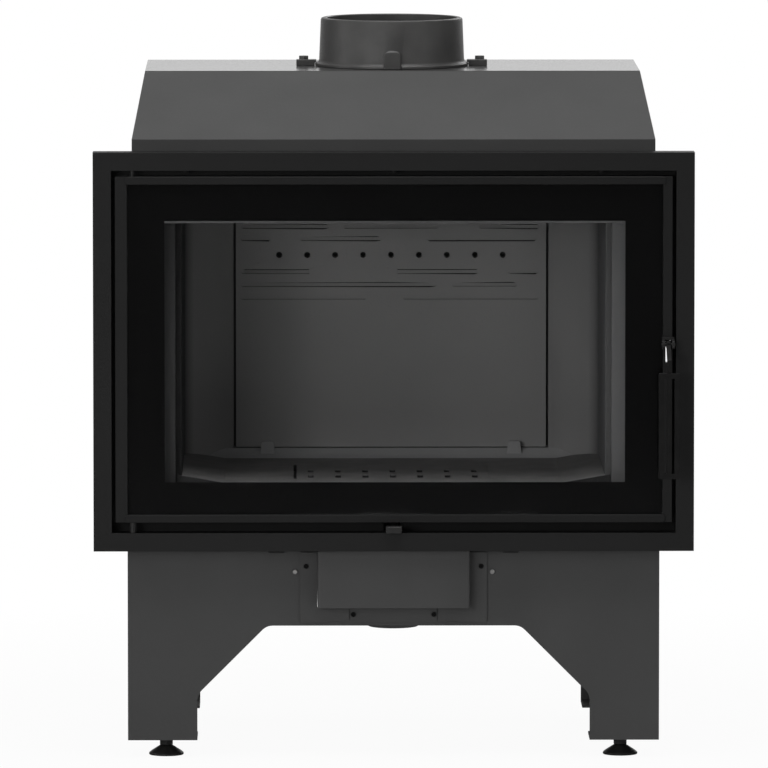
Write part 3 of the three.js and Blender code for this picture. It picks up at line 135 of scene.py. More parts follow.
# %% Helpers for noise
def stretched(tree, place, scale):
    """The place with each axis scaled, to draw a pattern out along one of them."""
    mapping = node(tree, "Mapping")
    mapping.inputs["Scale"].default_value = scale
    tree.links.new(place, mapping.inputs["Vector"])
    return mapping.outputs["Vector"]


def speckle(tree, place, scale, detail=2.0, roughness=0.5):
    """Noise at a place, from 0 to 1; the scale is in grains to a metre."""
    noise = node(tree, "TexNoise")
    noise.inputs["Scale"].default_value = scale
    noise.inputs["Detail"].default_value = detail
    noise.inputs["Roughness"].default_value = roughness
    tree.links.new(place, noise.inputs["Vector"])
    return noise.outputs["Fac"]


def spread(tree, value, low, high, start=0.3, stop=0.7):
    """Noise lies mostly between 0.3 and 0.7, so that stretch is mapped to low..high."""
    limits = node(tree, "MapRange")
    ends = {"From Min": start, "From Max": stop, "To Min": low, "To Max": high}
    for socket, number in ends.items():
        limits.inputs[socket].default_value = number
    tree.links.new(value, limits.inputs["Value"])
    return limits.outputs["Result"]


print("noise helpers:", stretched.__name__, speckle.__name__, spread.__name__)

# %% [markdown]
# ### Colours and places
# Most finishes here are greys that vary a little. The copies of the pieces stand at the origin, so their
# coordinates are real places, and `along_axis` can colour a piece by them. That puts soot where a fire
# leaves it without cutting the piece in two.

# %% Helpers for colours and places
def between(tree, factor, dark, light):
    """A colour between two others, each of them numbers or a socket."""
    mix = node(tree, "Mix", data_type="RGBA")
    for socket, colour in zip((6, 7), (dark, light)):
        if isinstance(colour, bpy.types.NodeSocket):
            tree.links.new(colour, mix.inputs[socket])
        else:
            mix.inputs[socket].default_value = (*colour, 1)
    tree.links.new(factor, mix.inputs["Factor"])
    return mix.outputs[2]


def on_axis(tree, place, axis):
    """One coordinate of a place."""
    parts = node(tree, "SeparateXYZ")
    tree.links.new(place, parts.inputs[0])
    return parts.outputs[axis]


def along_axis(tree, place, axis, first, second, start, stop):
    """A colour that goes from the first to the second between two places on one axis."""
    return between(tree, spread(tree, on_axis(tree, place, axis), 0, 1, start, stop), first, second)


def calculated(tree, operation, first, second=0.0):
    """One piece of arithmetic on two sockets or numbers."""
    made = node(tree, "Math", operation=operation)
    for socket, value in zip(made.inputs, (first, second)):
        if isinstance(value, bpy.types.NodeSocket):
            tree.links.new(value, socket)
        else:
            socket.default_value = value
    return made.outputs[0]


def grey(level, warmth=0.0):
    """A grey, a little warm or cool."""
    return (level * (1 + warmth), level, level * (1 - warmth))


print("a mid grey, a little warm:", grey(0.2, 0.02))

# %% [markdown]
# ### Bump and mixed shaders
# Grain and peel are too fine for the mesh, so a bump tilts the light on them. A few finishes are two
# shaders in one: `end_with_mix` ends their tree with a share of each.

# %% Helpers for bump and mixes
def add_bump(tree, shader, height, depth, below=None):
    """Raises the surface by height, at most depth metres, over an earlier bump if there is one."""
    bump = node(tree, "Bump")
    bump.inputs["Distance"].default_value = depth
    tree.links.new(height, bump.inputs["Height"])
    if below is not None:
        tree.links.new(below, bump.inputs["Normal"])
    tree.links.new(bump.outputs["Normal"], shader.inputs["Normal"])
    return bump.outputs["Normal"]


def end_with_mix(tree, output, share, first, second):
    """Ends a tree with two shaders: only the first at a share of 0, only the second at 1."""
    mix = node(tree, "MixShader")
    for socket, value in zip(mix.inputs, (share, first, second)):
        tree.links.new(value, socket)
    tree.links.new(mix.outputs["Shader"], tree.nodes[output].inputs["Surface"])


print("bump and mix helpers ready")

# %% [markdown]
# ## Stove paint
# The hood, the stand and the frame are sheet steel with a sprayed heat-resistant paint. It is satin, a
# little cloudy where the coats overlap, and its surface is a fine orange peel with a still finer grain. One
# function makes it in any grey, because the hood and the stand are a mid grey and the frame and the door
# nearly black. The clouds go into the colour, the grain into the roughness, the peel and the grain into the
# bump. The flat top of the hood is smoother than the rest, so seen nearly edge on it mirrors the white
# behind it, as in the photograph.

# %% Stove paint
CLOUD_SHADE = 0.07  # how much lighter or darker a cloud is
PEEL_DEPTH = 0.10 * MM
GRAIN_DEPTH = 0.05 * MM
SMOOTH_SHARE = 0.3  # roughness over the height where the smooth part starts, as a share of the rest
SMOOTH_FADE = 0.5 * MM


def stove_paint(name, level, gloss=0.5, shine=0.5, smooth_over=None, shaded=None):
    """Satin paint; it is smoother over a height if one is given, and shaded can paint light and shade on it
    by place.
    """
    material, tree, shader, place = new_finish(name)
    cloud = speckle(tree, place, 9, detail=3)
    grain = speckle(tree, place, 900)
    peel = speckle(tree, place, 260)
    dark = grey(level * (1 - CLOUD_SHADE))
    light = grey(level * (1 + CLOUD_SHADE))
    colour = between(tree, spread(tree, cloud, 0, 1), dark, light)
    # painted light and shade by place, where a function is given
    if shaded is not None:
        colour = shaded(tree, place, colour)
    tree.links.new(colour, shader.inputs["Base Color"])
    roughness = spread(tree, grain, gloss - 0.05, gloss + 0.07)
    if smooth_over is not None:
        height = on_axis(tree, place, "Z")
        share = spread(tree, height, 1, SMOOTH_SHARE, smooth_over, smooth_over + SMOOTH_FADE)
        roughness = calculated(tree, "MULTIPLY", roughness, share)
    tree.links.new(roughness, shader.inputs["Roughness"])
    soft = add_bump(tree, shader, peel, PEEL_DEPTH)
    add_bump(tree, shader, grain, GRAIN_DEPTH, below=soft)
    shader.inputs["Specular IOR Level"].default_value = shine
    return material


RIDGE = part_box("hood")[1][2] - 1 * MM
HOOD_PAINT = stove_paint("hood_paint", 0.066, gloss=0.58, shine=0.35, smooth_over=RIDGE)
STAND_PAINT = stove_paint("stand_paint", 0.066, gloss=0.60, shine=0.30)
FRAME_PAINT = stove_paint("frame_paint", 0.0128, gloss=0.55, shine=0.22)
DOOR_PAINT = stove_paint("door_paint", 0.0108, gloss=0.52, shine=0.22)
print("paints:", [m.name for m in bpy.data.materials if "paint" in m.name])

# %% [markdown]
# ## The seat behind the door
# The seat is one painted plate, and three parts of it show: a strip on each side of the lining through the
# glass, the floor of the gap round the door, and a strip over the front frame. In the photograph the right
# strip is pale, the left one dull and the gap black. These lamps don't give that, so the paint changes its
# grey by place: painted shade on the left strip, painted light on the right strip and painted shade in the
# gap round the door. The strip over the frame keeps the plain paint.

# %% The seat behind the door
GAP_PAINTED_SHADE = 0.005
SEAT_LEFT_PAINTED_SHADE = 0.043
SEAT_RIGHT_PAINTED_LIGHT = 0.145
MIDDLE_BLEND = 100 * MM  # the left grey turns into the right one this far on both sides of the middle
EDGE_BLEND = 1 * MM


def seat_painted_light(tree, place, colour):
    """Painted shade on the left and painted light on the right inside the outline of the door, painted
    shade round it, the paint over the frame.
    """
    low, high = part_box("door_frame")
    # painted shade, near black, for the gap round the door
    black = grey(GAP_PAINTED_SHADE)
    left, right = grey(SEAT_LEFT_PAINTED_SHADE), grey(SEAT_RIGHT_PAINTED_LIGHT)
    sides = along_axis(tree, place, "X", left, right, -MIDDLE_BLEND, MIDDLE_BLEND)
    for number, axis in ((0, "X"), (2, "Z")):
        sides = along_axis(tree, place, axis, black, sides, low[number], low[number] + EDGE_BLEND)
        sides = along_axis(tree, place, axis, sides, black, high[number] - EDGE_BLEND, high[number])
    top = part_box("front_frame")[1][2]
    return along_axis(tree, place, "Z", sides, colour, top - 2 * EDGE_BLEND, top - EDGE_BLEND)


# the seat paint carries painted light and painted shade by place
SEAT_PAINT = stove_paint("seat_paint", 0.060, gloss=0.58, shine=0.30, shaded=seat_painted_light)
print("seat greys:", SEAT_LEFT_PAINTED_SHADE, SEAT_RIGHT_PAINTED_LIGHT, "gap:", GAP_PAINTED_SHADE)

# %% [markdown]
# ## Castings, black steel and zinc
# The flue collar and the hearth are cast iron, with the pebbled skin of a sand mould, so their bump is
# coarser and their colour varies more. Pins, the handle and the feet are blackened steel: dark, smoother,
# and worn a little lighter in patches. The latch parts and the rod are zinc plated, a pale metal with fine
# marks drawn along one axis.

# %% Castings and metals
def casting(name, level, gloss, pebble=420, depth=0.25 * MM, painted_shading=None):
    """Cast iron with the skin of a sand mould; its last argument can paint light and shade on it by place.
    """
    material, tree, shader, place = new_finish(name)
    skin = speckle(tree, place, pebble, detail=3, roughness=0.6)
    stain = speckle(tree, place, 30, detail=4)
    colour = between(tree, spread(tree, stain, 0, 1), grey(level * 0.84, 0.01), grey(level * 1.14, 0.02))
    # painted light and shade by place, where a function is given
    if painted_shading is not None:
        colour = painted_shading(tree, place, colour)
    tree.links.new(colour, shader.inputs["Base Color"])
    tree.links.new(spread(tree, skin, gloss - 0.08, gloss + 0.1), shader.inputs["Roughness"])
    add_bump(tree, shader, skin, depth)
    return material


def black_steel(name, level, gloss, shine=0.3):
    """Blackened steel, worn lighter and smoother in patches."""
    material, tree, shader, place = new_finish(name)
    wear = speckle(tree, place, 70, detail=5, roughness=0.65)
    grain = speckle(tree, place, 1100)
    colour = between(tree, spread(tree, wear, 0, 1, 0.42, 0.75), grey(level), grey(level * 1.7, 0.03))
    tree.links.new(colour, shader.inputs["Base Color"])
    tree.links.new(spread(tree, wear, gloss + 0.08, gloss - 0.08), shader.inputs["Roughness"])
    add_bump(tree, shader, grain, 0.03 * MM)
    shader.inputs["Specular IOR Level"].default_value = shine
    return material


def zinc(name, level, drawn=(1, 1, 0.05)):
    """Zinc plate; its marks run along the axis with the small number."""
    material, tree, shader, place = new_finish(name)
    marks = speckle(tree, stretched(tree, place, drawn), 1500)
    bloom = speckle(tree, place, 90, detail=4)
    colour = between(tree, spread(tree, bloom, 0, 1), grey(level * 0.85), grey(level * 1.1, 0.02))
    tree.links.new(colour, shader.inputs["Base Color"])
    tree.links.new(spread(tree, marks, 0.28, 0.46), shader.inputs["Roughness"])
    add_bump(tree, shader, marks, 0.02 * MM)
    shader.inputs["Metallic"].default_value = 1.0
    return material


COLLAR_CAST = casting("collar_cast", 0.062, 0.44, pebble=500, depth=0.18 * MM)
BLACK_STEEL = black_steel("black_steel", 0.018, 0.42)
GRIP_STEEL = black_steel("grip_steel", 0.007, 0.62, shine=0.15)
SCREW_STEEL = black_steel("screw_steel", 0.004, 0.55, shine=0.12)
ZINC = zinc("zinc", 0.42)
ROD_ZINC = zinc("rod_zinc", 0.45, drawn=(1, 0.05, 1))
print("collar and metals:", [m.name for m in bpy.data.materials if "paint" not in m.name])

# %% [markdown]
# ## Painted shade and painted light in the firebox
# Light and shade are painted into the colour in the firebox. The front edge and the slots of the hearth are
# painted black: painted shade. The flat part of the side linings gets painted shade, darker on the left,
# and
# the grooves of the back lining get painted shade on their edges. The ledge behind the grate is painted
# pale:
# painted light, because it faces the lamps in front. Each of these functions takes the colour of a finish
# and gives it back with its painted light and shade, in places measured from the boxes of the pieces.

# %% Painted shade and painted light in the firebox
# painted shade: the near black that stands for shade in the firebox
PAINTED_SHADE = 0.012
PAINTED_SHADE_RIGHT_SIDE = 0.10
# painted light: the ledge faces the lamps in front, so its grey is raised
LEDGE_PAINTED_LIGHT = 0.34
LEDGE_RUN = 11 * MM
LEDGE_EDGE = (-0.2 * MM, 0.6 * MM)  # where a mark starts and where it is complete
SLOT_EDGE = (-1.6 * MM, -0.4 * MM)  # under the top of the grate
FRONT_EDGE = (1 * MM, 4 * MM)
SIDE_SHADE_EDGE = (255 * MM, 284 * MM)
SIDE_SHADE_TURN = 200 * MM  # the painted shade is darkest this far to the left of the middle, and lightest as far to the right
GROOVE_EDGE = (0.05 * MM, 0.2 * MM)
GROOVE_FLOOR = (2.1 * MM, 2.4 * MM)


def marked(tree, place, axis, first, second, start, edge):
    """A colour that turns into another on an axis, over an edge measured from a start."""
    return along_axis(tree, place, axis, first, second, start + edge[0], start + edge[1])


def hearth_painted_light_and_shade(tree, place, colour):
    """Painted shade in the slots and along the front edge of the hearth, and painted light on the ledge at
    its back.
    """
    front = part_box("hearth_base")[0][1]
    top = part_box("hearth_grate")[1][2]
    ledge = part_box("back_lining")[0][1] - LEDGE_RUN
    # painted light on the ledge
    colour = marked(tree, place, "Y", colour, grey(LEDGE_PAINTED_LIGHT), ledge, LEDGE_EDGE)
    # painted shade in the slots, under the top of the grate
    colour = marked(tree, place, "Z", grey(PAINTED_SHADE), colour, top, SLOT_EDGE)
    # painted shade along the front edge
    return marked(tree, place, "Y", grey(PAINTED_SHADE), colour, front, FRONT_EDGE)


def painted_shade_on_sides(tree, place, colour):
    """Painted shade on a side lining, from its front to its round corner, darker on the left."""
    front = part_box("side_lining_left")[0][1]
    # painted shade on the flat side, darker on the left lining, which faces away from the lamps on the left
    side_shade = along_axis(tree, place, "X", grey(PAINTED_SHADE), grey(PAINTED_SHADE_RIGHT_SIDE), -SIDE_SHADE_TURN, SIDE_SHADE_TURN)
    return marked(tree, place, "Y", side_shade, colour, front, SIDE_SHADE_EDGE)


def painted_shade_in_grooves(tree, place, colour):
    """Painted shade on the edges of grooves and holes, but not on the floor of a groove."""
    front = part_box("back_lining")[0][1]
    # painted shade on the walls of the grooves, where their edges throw shade
    edge = marked(tree, place, "Y", colour, grey(PAINTED_SHADE), front, GROOVE_EDGE)
    return marked(tree, place, "Y", edge, colour, front, GROOVE_FLOOR)


# prints the painted shade, the painted shade at the right of the side linings and the painted light of the
# ledge
print("soot:", PAINTED_SHADE, "film:", PAINTED_SHADE_RIGHT_SIDE, "ledge:", LEDGE_PAINTED_LIGHT)

# %% [markdown]
# ## Lining and hearth
# The firebox is lined with pressed refractory board: a matt grey stone with fine grains and a few small
# pits. The pits are cells of a Voronoi pattern, pressed in over the grain. The hearth is cast iron, made by
# the same function as the collar.

# %% Lining and hearth
def refractory(name, level, painted_shading=None):
    """Pressed board with grains and pits; its last argument can paint light and shade on it by place."""
    material, tree, shader, place = new_finish(name)
    grain = speckle(tree, place, 650, detail=3, roughness=0.7)
    cloud = speckle(tree, place, 6, detail=3)
    pits = node(tree, "TexVoronoi")
    pits.inputs["Scale"].default_value = 160
    tree.links.new(place, pits.inputs["Vector"])
    pitted = spread(tree, pits.outputs["Distance"], 0, 1, 0.05, 0.3)
    colour = between(tree, spread(tree, cloud, 0, 1), grey(level * 0.94, 0.005), grey(level * 1.06, 0.01))
    # painted shade by place, where a function is given
    if painted_shading is not None:
        colour = painted_shading(tree, place, colour)
    tree.links.new(colour, shader.inputs["Base Color"])
    tree.links.new(spread(tree, grain, 0.72, 0.9), shader.inputs["Roughness"])
    rough = add_bump(tree, shader, grain, 0.15 * MM)
    add_bump(tree, shader, pitted, 0.12 * MM, below=rough)
    shader.inputs["Specular IOR Level"].default_value = 0.3
    return material


# the hearth gets painted shade and painted light, the linings painted shade
HEARTH_CAST = casting("hearth_cast", 0.155, 0.62, painted_shading=hearth_painted_light_and_shade)
LINING = refractory("lining", 0.31, painted_shading=painted_shade_in_grooves)
SIDE_LINING = refractory("side_lining", 0.27, painted_shading=painted_shade_on_sides)
print("inside the firebox:", HEARTH_CAST.name, LINING.name, SIDE_LINING.name)

# %% [markdown]
# ## The yarn of the rope seal
# The seal is braided glass fibre, dull and darkened by smoke. Its strands are real shapes, made further
# down, so the finish only gives them the fine roughness of yarn.

# %% The yarn of the rope seal
def braid(name, level):
    """Glass-fibre yarn, darker where smoke has passed."""
    material, tree, shader, place = new_finish(name)
    yarn = speckle(tree, place, 1400, detail=2)
    soot = speckle(tree, place, 40, detail=4)
    colour = between(tree, spread(tree, soot, 0, 1), grey(level * 0.7), grey(level * 1.3, 0.03))
    tree.links.new(colour, shader.inputs["Base Color"])
    tree.links.new(spread(tree, yarn, 0.75, 0.95), shader.inputs["Roughness"])
    add_bump(tree, shader, yarn, 0.2 * MM)
    shader.inputs["Sheen Weight"].default_value = 0.3
    return material


ROPE_BRAID = braid("rope_braid", 0.045)
print("rope:", ROPE_BRAID.name)

# %% [markdown]
# ## The ceramic glass
# The pane is clear ceramic glass with a slight grey tint. Lamps have to light the chamber through it, and
# real caustics would be noisy. So its shader gives way to a transparent one for shadow and diffuse rays
# only, which the camera never sees.

# %% The ceramic glass
GLASS_TINT = (0.93, 0.93, 0.935)
GLASS_INDEX = 1.47  # how strongly it bends light


def pane(name, tint):
    """Clear glass that lets shadow and diffuse rays pass straight."""
    material, tree, shader, place = new_finish(name)
    shader.inputs["Base Color"].default_value = (*tint, 1)
    shader.inputs["Transmission Weight"].default_value = 1.0
    shader.inputs["IOR"].default_value = GLASS_INDEX
    smear = speckle(tree, place, 14, detail=3)
    tree.links.new(spread(tree, smear, 0.0, 0.02), shader.inputs["Roughness"])
    rays = node(tree, "LightPath").outputs
    either = calculated(tree, "MAXIMUM", rays["Is Shadow Ray"], rays["Is Diffuse Ray"])
    clear = node(tree, "BsdfTransparent").outputs["BSDF"]
    end_with_mix(tree, "Material Output", either, shader.outputs["BSDF"], clear)
    return material


GLASS = pane("ceramic_glass", GLASS_TINT)
print("glass:", GLASS.name)

# %% [markdown]
# ## Enamel
# The broad dark border is enamel, fired onto the back of the pane, and a fine pale line runs along the top
# of its window: a painted highlight where the edge of the enamel catches the light. The border is smooth
# and nearly black, with a trace of the dots of the print screen.

# %% Enamel
def enamel(name, level, gloss):
    """Fired enamel; gloss is its roughness."""
    material, tree, shader, place = new_finish(name)
    cloud = speckle(tree, place, 25, detail=3)
    dots = speckle(tree, place, 1600)
    colour = between(tree, cloud, grey(level * 0.9), grey(level * 1.1))
    tree.links.new(colour, shader.inputs["Base Color"])
    tree.links.new(spread(tree, dots, gloss - 0.04, gloss + 0.04), shader.inputs["Roughness"])
    add_bump(tree, shader, dots, 0.01 * MM)
    shader.inputs["Specular IOR Level"].default_value = 0.12
    return material


BORDER = enamel("border_enamel", 0.0045, 0.17)
# a painted highlight: pale enamel where the edge of the print catches the light
PAINTED_EDGE_HIGHLIGHT = enamel("edge_line", 0.105, 0.45)
print("finishes in all:", len(bpy.data.materials))

# %% [markdown]
# ## Soft edges on the sheet metal
# No real edge is perfectly sharp: paint rounds a cut edge, and a folded edge has a radius. A narrow chamfer
# catches the light as a fine bright line, and that line is most of what tells black sheet from a black
# hole. A packed piece is loose triangles and must stay as it is, so the script works on a copy: it merges
# the points, dissolves the flat triangles into whole faces, chamfers the sharp edges and shades the round
# parts smooth. Long straight edges can get a wider chamfer first: the grooves of the back lining need one
# to show, but the small air holes beside them have no room for it.

# %% A softened copy of a packed piece
RECORD = frame["record"]
BODY_OF = {name: body for body, names in RECORD["behaviour"]["bodies"].items() for name in names}
FLAT_WITHIN = math.radians(0.6)
SHARP_OVER = math.radians(35)
SMOOTH_UNDER = math.radians(20)
LONG_EDGE = 20 * MM
SAME_POINT = 0.01 * MM


def add_piece(name, mesh, finish, body, stands_for=()):
    """Puts a finished mesh in the scene, on the body that carries it."""
    piece = bpy.data.objects.new(name, mesh)
    bpy.context.scene.collection.objects.link(piece)
    mesh.materials.clear()
    mesh.materials.append(finish)
    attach(piece, body)
    if stands_for:
        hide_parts(*stands_for)
    return piece


def shade(mesh):
    """Smooth over round parts, with edges left sharp where faces turn."""
    mesh.shade_smooth()
    mesh.set_sharp_from_angle(angle=SMOOTH_UNDER)


def sharp_edges(work):
    """The edges where two faces meet at a clear angle."""
    return [edge for edge in work.edges if edge.is_manifold and edge.calc_face_angle() > SHARP_OVER]


def chamfered(work, edges, width, clamped):
    """Cuts the edges off flat, all of them to the full width unless clamped to the room there is."""
    bmesh.ops.bevel(
        work, geom=edges, offset=width * MM, segments=1, affect="EDGES",
        clamp_overlap=clamped, loop_slide=False,
    )


def softened(name, chamfer, finish, long_chamfer=0):
    """A copy of the packed piece with its sharp edges chamfered, long straight ones more if asked."""
    work = bmesh.new()
    work.from_mesh(frame["nodes"][name].data)
    bmesh.ops.remove_doubles(work, verts=work.verts, dist=SAME_POINT)
    bmesh.ops.dissolve_limit(work, angle_limit=FLAT_WITHIN, verts=work.verts, edges=work.edges)
    if long_chamfer:
        longer = [edge for edge in sharp_edges(work) if edge.calc_length() > LONG_EDGE]
        chamfered(work, longer, long_chamfer, clamped=False)
    chamfered(work, sharp_edges(work), chamfer, clamped=True)
    mesh = bpy.data.meshes.new(name + "_soft")
    work.to_mesh(mesh)
    work.free()
    shade(mesh)
    return add_piece(name + "_soft", mesh, finish, BODY_OF[name], [name])


# %% [markdown]
# ## Dressing the casing and the stand
# Each line below names a piece, how wide its chamfer is in millimetres, and its finish. Cut sheet and
# turned parts get 0.2 to 0.5 mm. The folded hood and shell get 0.6 to 0.8 mm, because a fold has a radius,
# and castings and board up to 0.9 mm, because a mould can't hold a sharp edge.

# %% The casing, the frame and the stand
SOFT_EDGES = {
    "hood": (0.8, HOOD_PAINT),
    "flue_collar": (0.9, COLLAR_CAST),
    "collar_clamp_left": (0.4, COLLAR_CAST),
    "collar_clamp_right": (0.4, COLLAR_CAST),
    "firebox_shell": (0.6, HOOD_PAINT),
    "front_frame": (0.5, FRAME_PAINT),
    "door_seat": (0.3, SEAT_PAINT),
    "stand_front_panel": (0.5, STAND_PAINT),
    "stand_rear_panel": (0.5, STAND_PAINT),
    "side_apron_left": (0.4, STAND_PAINT),
    "side_apron_right": (0.4, STAND_PAINT),
    "intake_box": (0.4, STAND_PAINT),
    "intake_plate": (0.3, STAND_PAINT),
    "intake_spigot": (0.3, STAND_PAINT),
    "door_frame": (0.3, DOOR_PAINT),
    "glass_rail_top": (0.5, DOOR_PAINT),
    "glass_rail_bottom": (0.5, DOOR_PAINT),
    "hinge_top": (0.3, BLACK_STEEL),
    "hinge_bottom": (0.3, BLACK_STEEL),
    "handle_bracket": (0.3, BLACK_STEEL),
    "handle_pin": (0.2, BLACK_STEEL),
    "handle_lever": (0.4, GRIP_STEEL),
    "handle_grip": (0.5, GRIP_STEEL),
    "air_knob": (0.5, BLACK_STEEL),
    "hearth_base": (0.8, HEARTH_CAST),
    "hearth_grate": (0.5, HEARTH_CAST),
    "lining_stop_left": (0.8, HEARTH_CAST),
    "lining_stop_right": (0.8, HEARTH_CAST),
    "side_lining_left": (0.8, SIDE_LINING),
    "side_lining_right": (0.8, SIDE_LINING),
    "baffle_board": (0.8, LINING),
}
for name, (chamfer, finish) in SOFT_EDGES.items():
    softened(name, chamfer, finish)
softened("back_lining", 0.2, LINING, long_chamfer=1.0)
FEET = [(end, side) for end in ("front", "rear") for side in ("left", "right")]
for end, side in FEET:
    softened(f"foot_{end}_{side}", 0.5, BLACK_STEEL)
    softened(f"foot_nut_{end}_{side}", 0.4, BLACK_STEEL)

# %% [markdown]
# ## Pieces that keep their packed shape
# These pieces only get a finish. Most of them are hidden behind others, where a chamfer would be wasted.
# The pane shows, but its edge lies under the rails and the frame of the door.

# %% Pieces that keep their packed shape
PLAIN_PIECES = {
    "baffle_rail_left": HOOD_PAINT,
    "baffle_rail_right": HOOD_PAINT,
    "air_wash_strip": FRAME_PAINT,
    "air_duct": HOOD_PAINT,
    "latch_keeper": ZINC,
    "air_rod": ROD_ZINC,
    "air_slide": ZINC,
    "door_glass": GLASS,
}
for name, finish in PLAIN_PIECES.items():
    mesh = frame["nodes"][name].data
    mesh.materials.clear()
    mesh.materials.append(finish)
print("kept as packed:", len(PLAIN_PIECES))

# %% [markdown]
# ## Geometry Nodes: the tools
# What repeats is grown by a node tree, so that one number changes all the copies. `tree_with` starts a tree
# with a geometry input, named number inputs and a finish. `step` adds one node with its links and values,
# and `close_tree` ends every tree the same way. The same shapes could be built point by point in Python,
# but a tree shows its recipe.

# %% Helpers that start and end a tree
def tree_with(name, numbers):
    """An empty tree with its inputs, and the sockets that give them."""
    tree = bpy.data.node_groups.new(name, "GeometryNodeTree")
    face = tree.interface
    face.new_socket("Seed", in_out="INPUT", socket_type="NodeSocketGeometry")
    for label in numbers:
        face.new_socket(label, in_out="INPUT", socket_type="NodeSocketFloat")
    face.new_socket("Finish", in_out="INPUT", socket_type="NodeSocketMaterial")
    face.new_socket("Grown", in_out="OUTPUT", socket_type="NodeSocketGeometry")
    return tree, tree.nodes.new("NodeGroupInput").outputs


def step(tree, kind, **inputs):
    """Adds a geometry node; each input is a socket to link or a value to set."""
    options = {option: value for option, value in inputs.items() if option.islower()}
    made = tree.nodes.new("GeometryNode" + kind)
    for option, value in options.items():
        setattr(made, option, value)
    for socket, value in inputs.items():
        if socket in options:
            continue
        target = made.inputs[socket.replace("_", " ")]
        if isinstance(value, bpy.types.NodeSocket):
            tree.links.new(value, target)
        else:
            target.default_value = value
    return made.outputs[0]


def vector(tree, **parts):
    """A vector with a socket for each axis that is named, and nought for the others."""
    made = tree.nodes.new("ShaderNodeCombineXYZ")
    for axis, value in parts.items():
        tree.links.new(value, made.inputs[axis])
    return made.outputs[0]


def joined(tree, *parts):
    """One geometry out of several, in the order they are given."""
    made = tree.nodes.new("GeometryNodeJoinGeometry")
    for part in parts:
        tree.links.new(part, made.inputs[0])
    return made.outputs[0]


def close_tree(tree, geometry, finish):
    """Every tree ends the same way: real geometry with its finish."""
    whole = step(tree, "RealizeInstances", Geometry=geometry)
    done = step(tree, "SetMaterial", Geometry=whole, Material=finish)
    tree.links.new(done, tree.nodes.new("NodeGroupOutput").inputs[0])


print("tree helpers ready")

# %% [markdown]
# ### Running a tree
# `grown` runs a tree on a seed mesh, which is only points and edges, and keeps the result as a plain mesh,
# because only a plain mesh can ride on a body. A number goes in by the identifier of its socket, not by its
# label.

# %% Helper that runs a tree
def grown(name, tree, points, edges, finish, **numbers):
    """The mesh that a tree makes of seed points and edges."""
    seed = bpy.data.meshes.new(name + "_seed")
    seed.from_pydata(points, edges, [])
    carrier = bpy.data.objects.new(name + "_seed", seed)
    bpy.context.scene.collection.objects.link(carrier)
    modifier = carrier.modifiers.new("grow", "NODES")
    modifier.node_group = tree
    wanted = {label.replace("_", " "): value for label, value in numbers.items()}
    wanted["Finish"] = finish
    for socket in tree.interface.items_tree:
        if socket.in_out == "INPUT" and socket.name in wanted:
            modifier[socket.identifier] = wanted[socket.name]
    shape = carrier.evaluated_get(bpy.context.evaluated_depsgraph_get())
    mesh = bpy.data.meshes.new_from_object(shape)
    mesh.name = name
    bpy.data.objects.remove(carrier)
    print(name, "has", len(mesh.polygons), "faces")
    return mesh


print("helper ready:", grown.__doc__)

# %% [markdown]
# ## Screws
# Nine small screws show: four in the intake plate, two in the stand panel beside it and three in the gap
# over the door. Each head is a short cone with a hexagon socket sunk in it. The tree builds one screw
# standing up, puts a copy on every seed point, and turns the copies towards the side that the heads face.

# %% A tree for screws
TOP_SHARE = 0.82  # radius of the cone's top, as a share of its foot
SOCKET_SHARE = 0.5
SOCKET_LIFT = 0.9  # the hexagon is as tall as the head and stands this share of it higher
screws, given = tree_with(
    "screws", ("Head Radius", "Head Height", "Shank Radius", "Shank Length", "Turn"),
)
height = given["Head Height"]
foot_radius = given["Head Radius"]
top_radius = calculated(screws, "MULTIPLY", foot_radius, TOP_SHARE)
head = step(
    screws, "MeshCone", Vertices=28, Radius_Top=top_radius, Radius_Bottom=foot_radius, Depth=height,
)
socket_radius = calculated(screws, "MULTIPLY", foot_radius, SOCKET_SHARE)
socket_hole = step(screws, "MeshCylinder", Vertices=6, Radius=socket_radius, Depth=height)
raised = vector(screws, Z=calculated(screws, "MULTIPLY", height, SOCKET_LIFT))
socket_hole = step(screws, "Transform", Geometry=socket_hole, Translation=raised)
cutting = screws.nodes.new("GeometryNodeMeshBoolean")
cutting.operation = "DIFFERENCE"
screws.links.new(head, cutting.inputs[0])
screws.links.new(socket_hole, cutting.inputs[1])
shank_length = given["Shank Length"]
shank = step(screws, "MeshCylinder", Vertices=16, Radius=given["Shank Radius"], Depth=shank_length)
lowered = vector(screws, Z=calculated(screws, "MULTIPLY", shank_length, -0.5))
shank = step(screws, "Transform", Geometry=shank, Translation=lowered)
screw = joined(screws, cutting.outputs[0], shank)
facing = vector(screws, X=given["Turn"])
copies = step(screws, "InstanceOnPoints", Points=given["Seed"], Instance=screw, Rotation=facing)
close_tree(screws, copies, given["Finish"])
print("screw tree:", len(screws.nodes), "nodes")

# %% [markdown]
# ### Placing the screws
# The packed screws say where each screw is and how large its head is, so the seeds are read from their
# boxes. The plate screws face the room, and the three over the door hang head down from the frame.

# %% The screws
TOWARDS_ROOM = math.radians(90)
HEAD_DOWN = math.radians(180)
SMALL_HEAD = 1.6 * MM
FRAME_HEAD = 2.0 * MM


def screw_set(name, nodes, finish, head_height, turn):
    """One mesh with the screws that stand for some packed nodes."""
    boxes = [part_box(each) for each in nodes]
    along = 1 if turn == TOWARDS_ROOM else 2
    seeds = []
    for low, high in boxes:
        seat = (low + high) / 2
        seat[along] = low[along] + head_height / 2
        seeds.append(seat)
    mesh = grown(
        name, screws, seeds, [], finish,
        Head_Radius=(high[0] - low[0]) / 2, Head_Height=head_height, Turn=turn,
        Shank_Radius=(high[0] - low[0]) / 4, Shank_Length=high[along] - low[along] - head_height,
    )
    shade(mesh)
    return add_piece(name, mesh, finish, "casing", nodes)


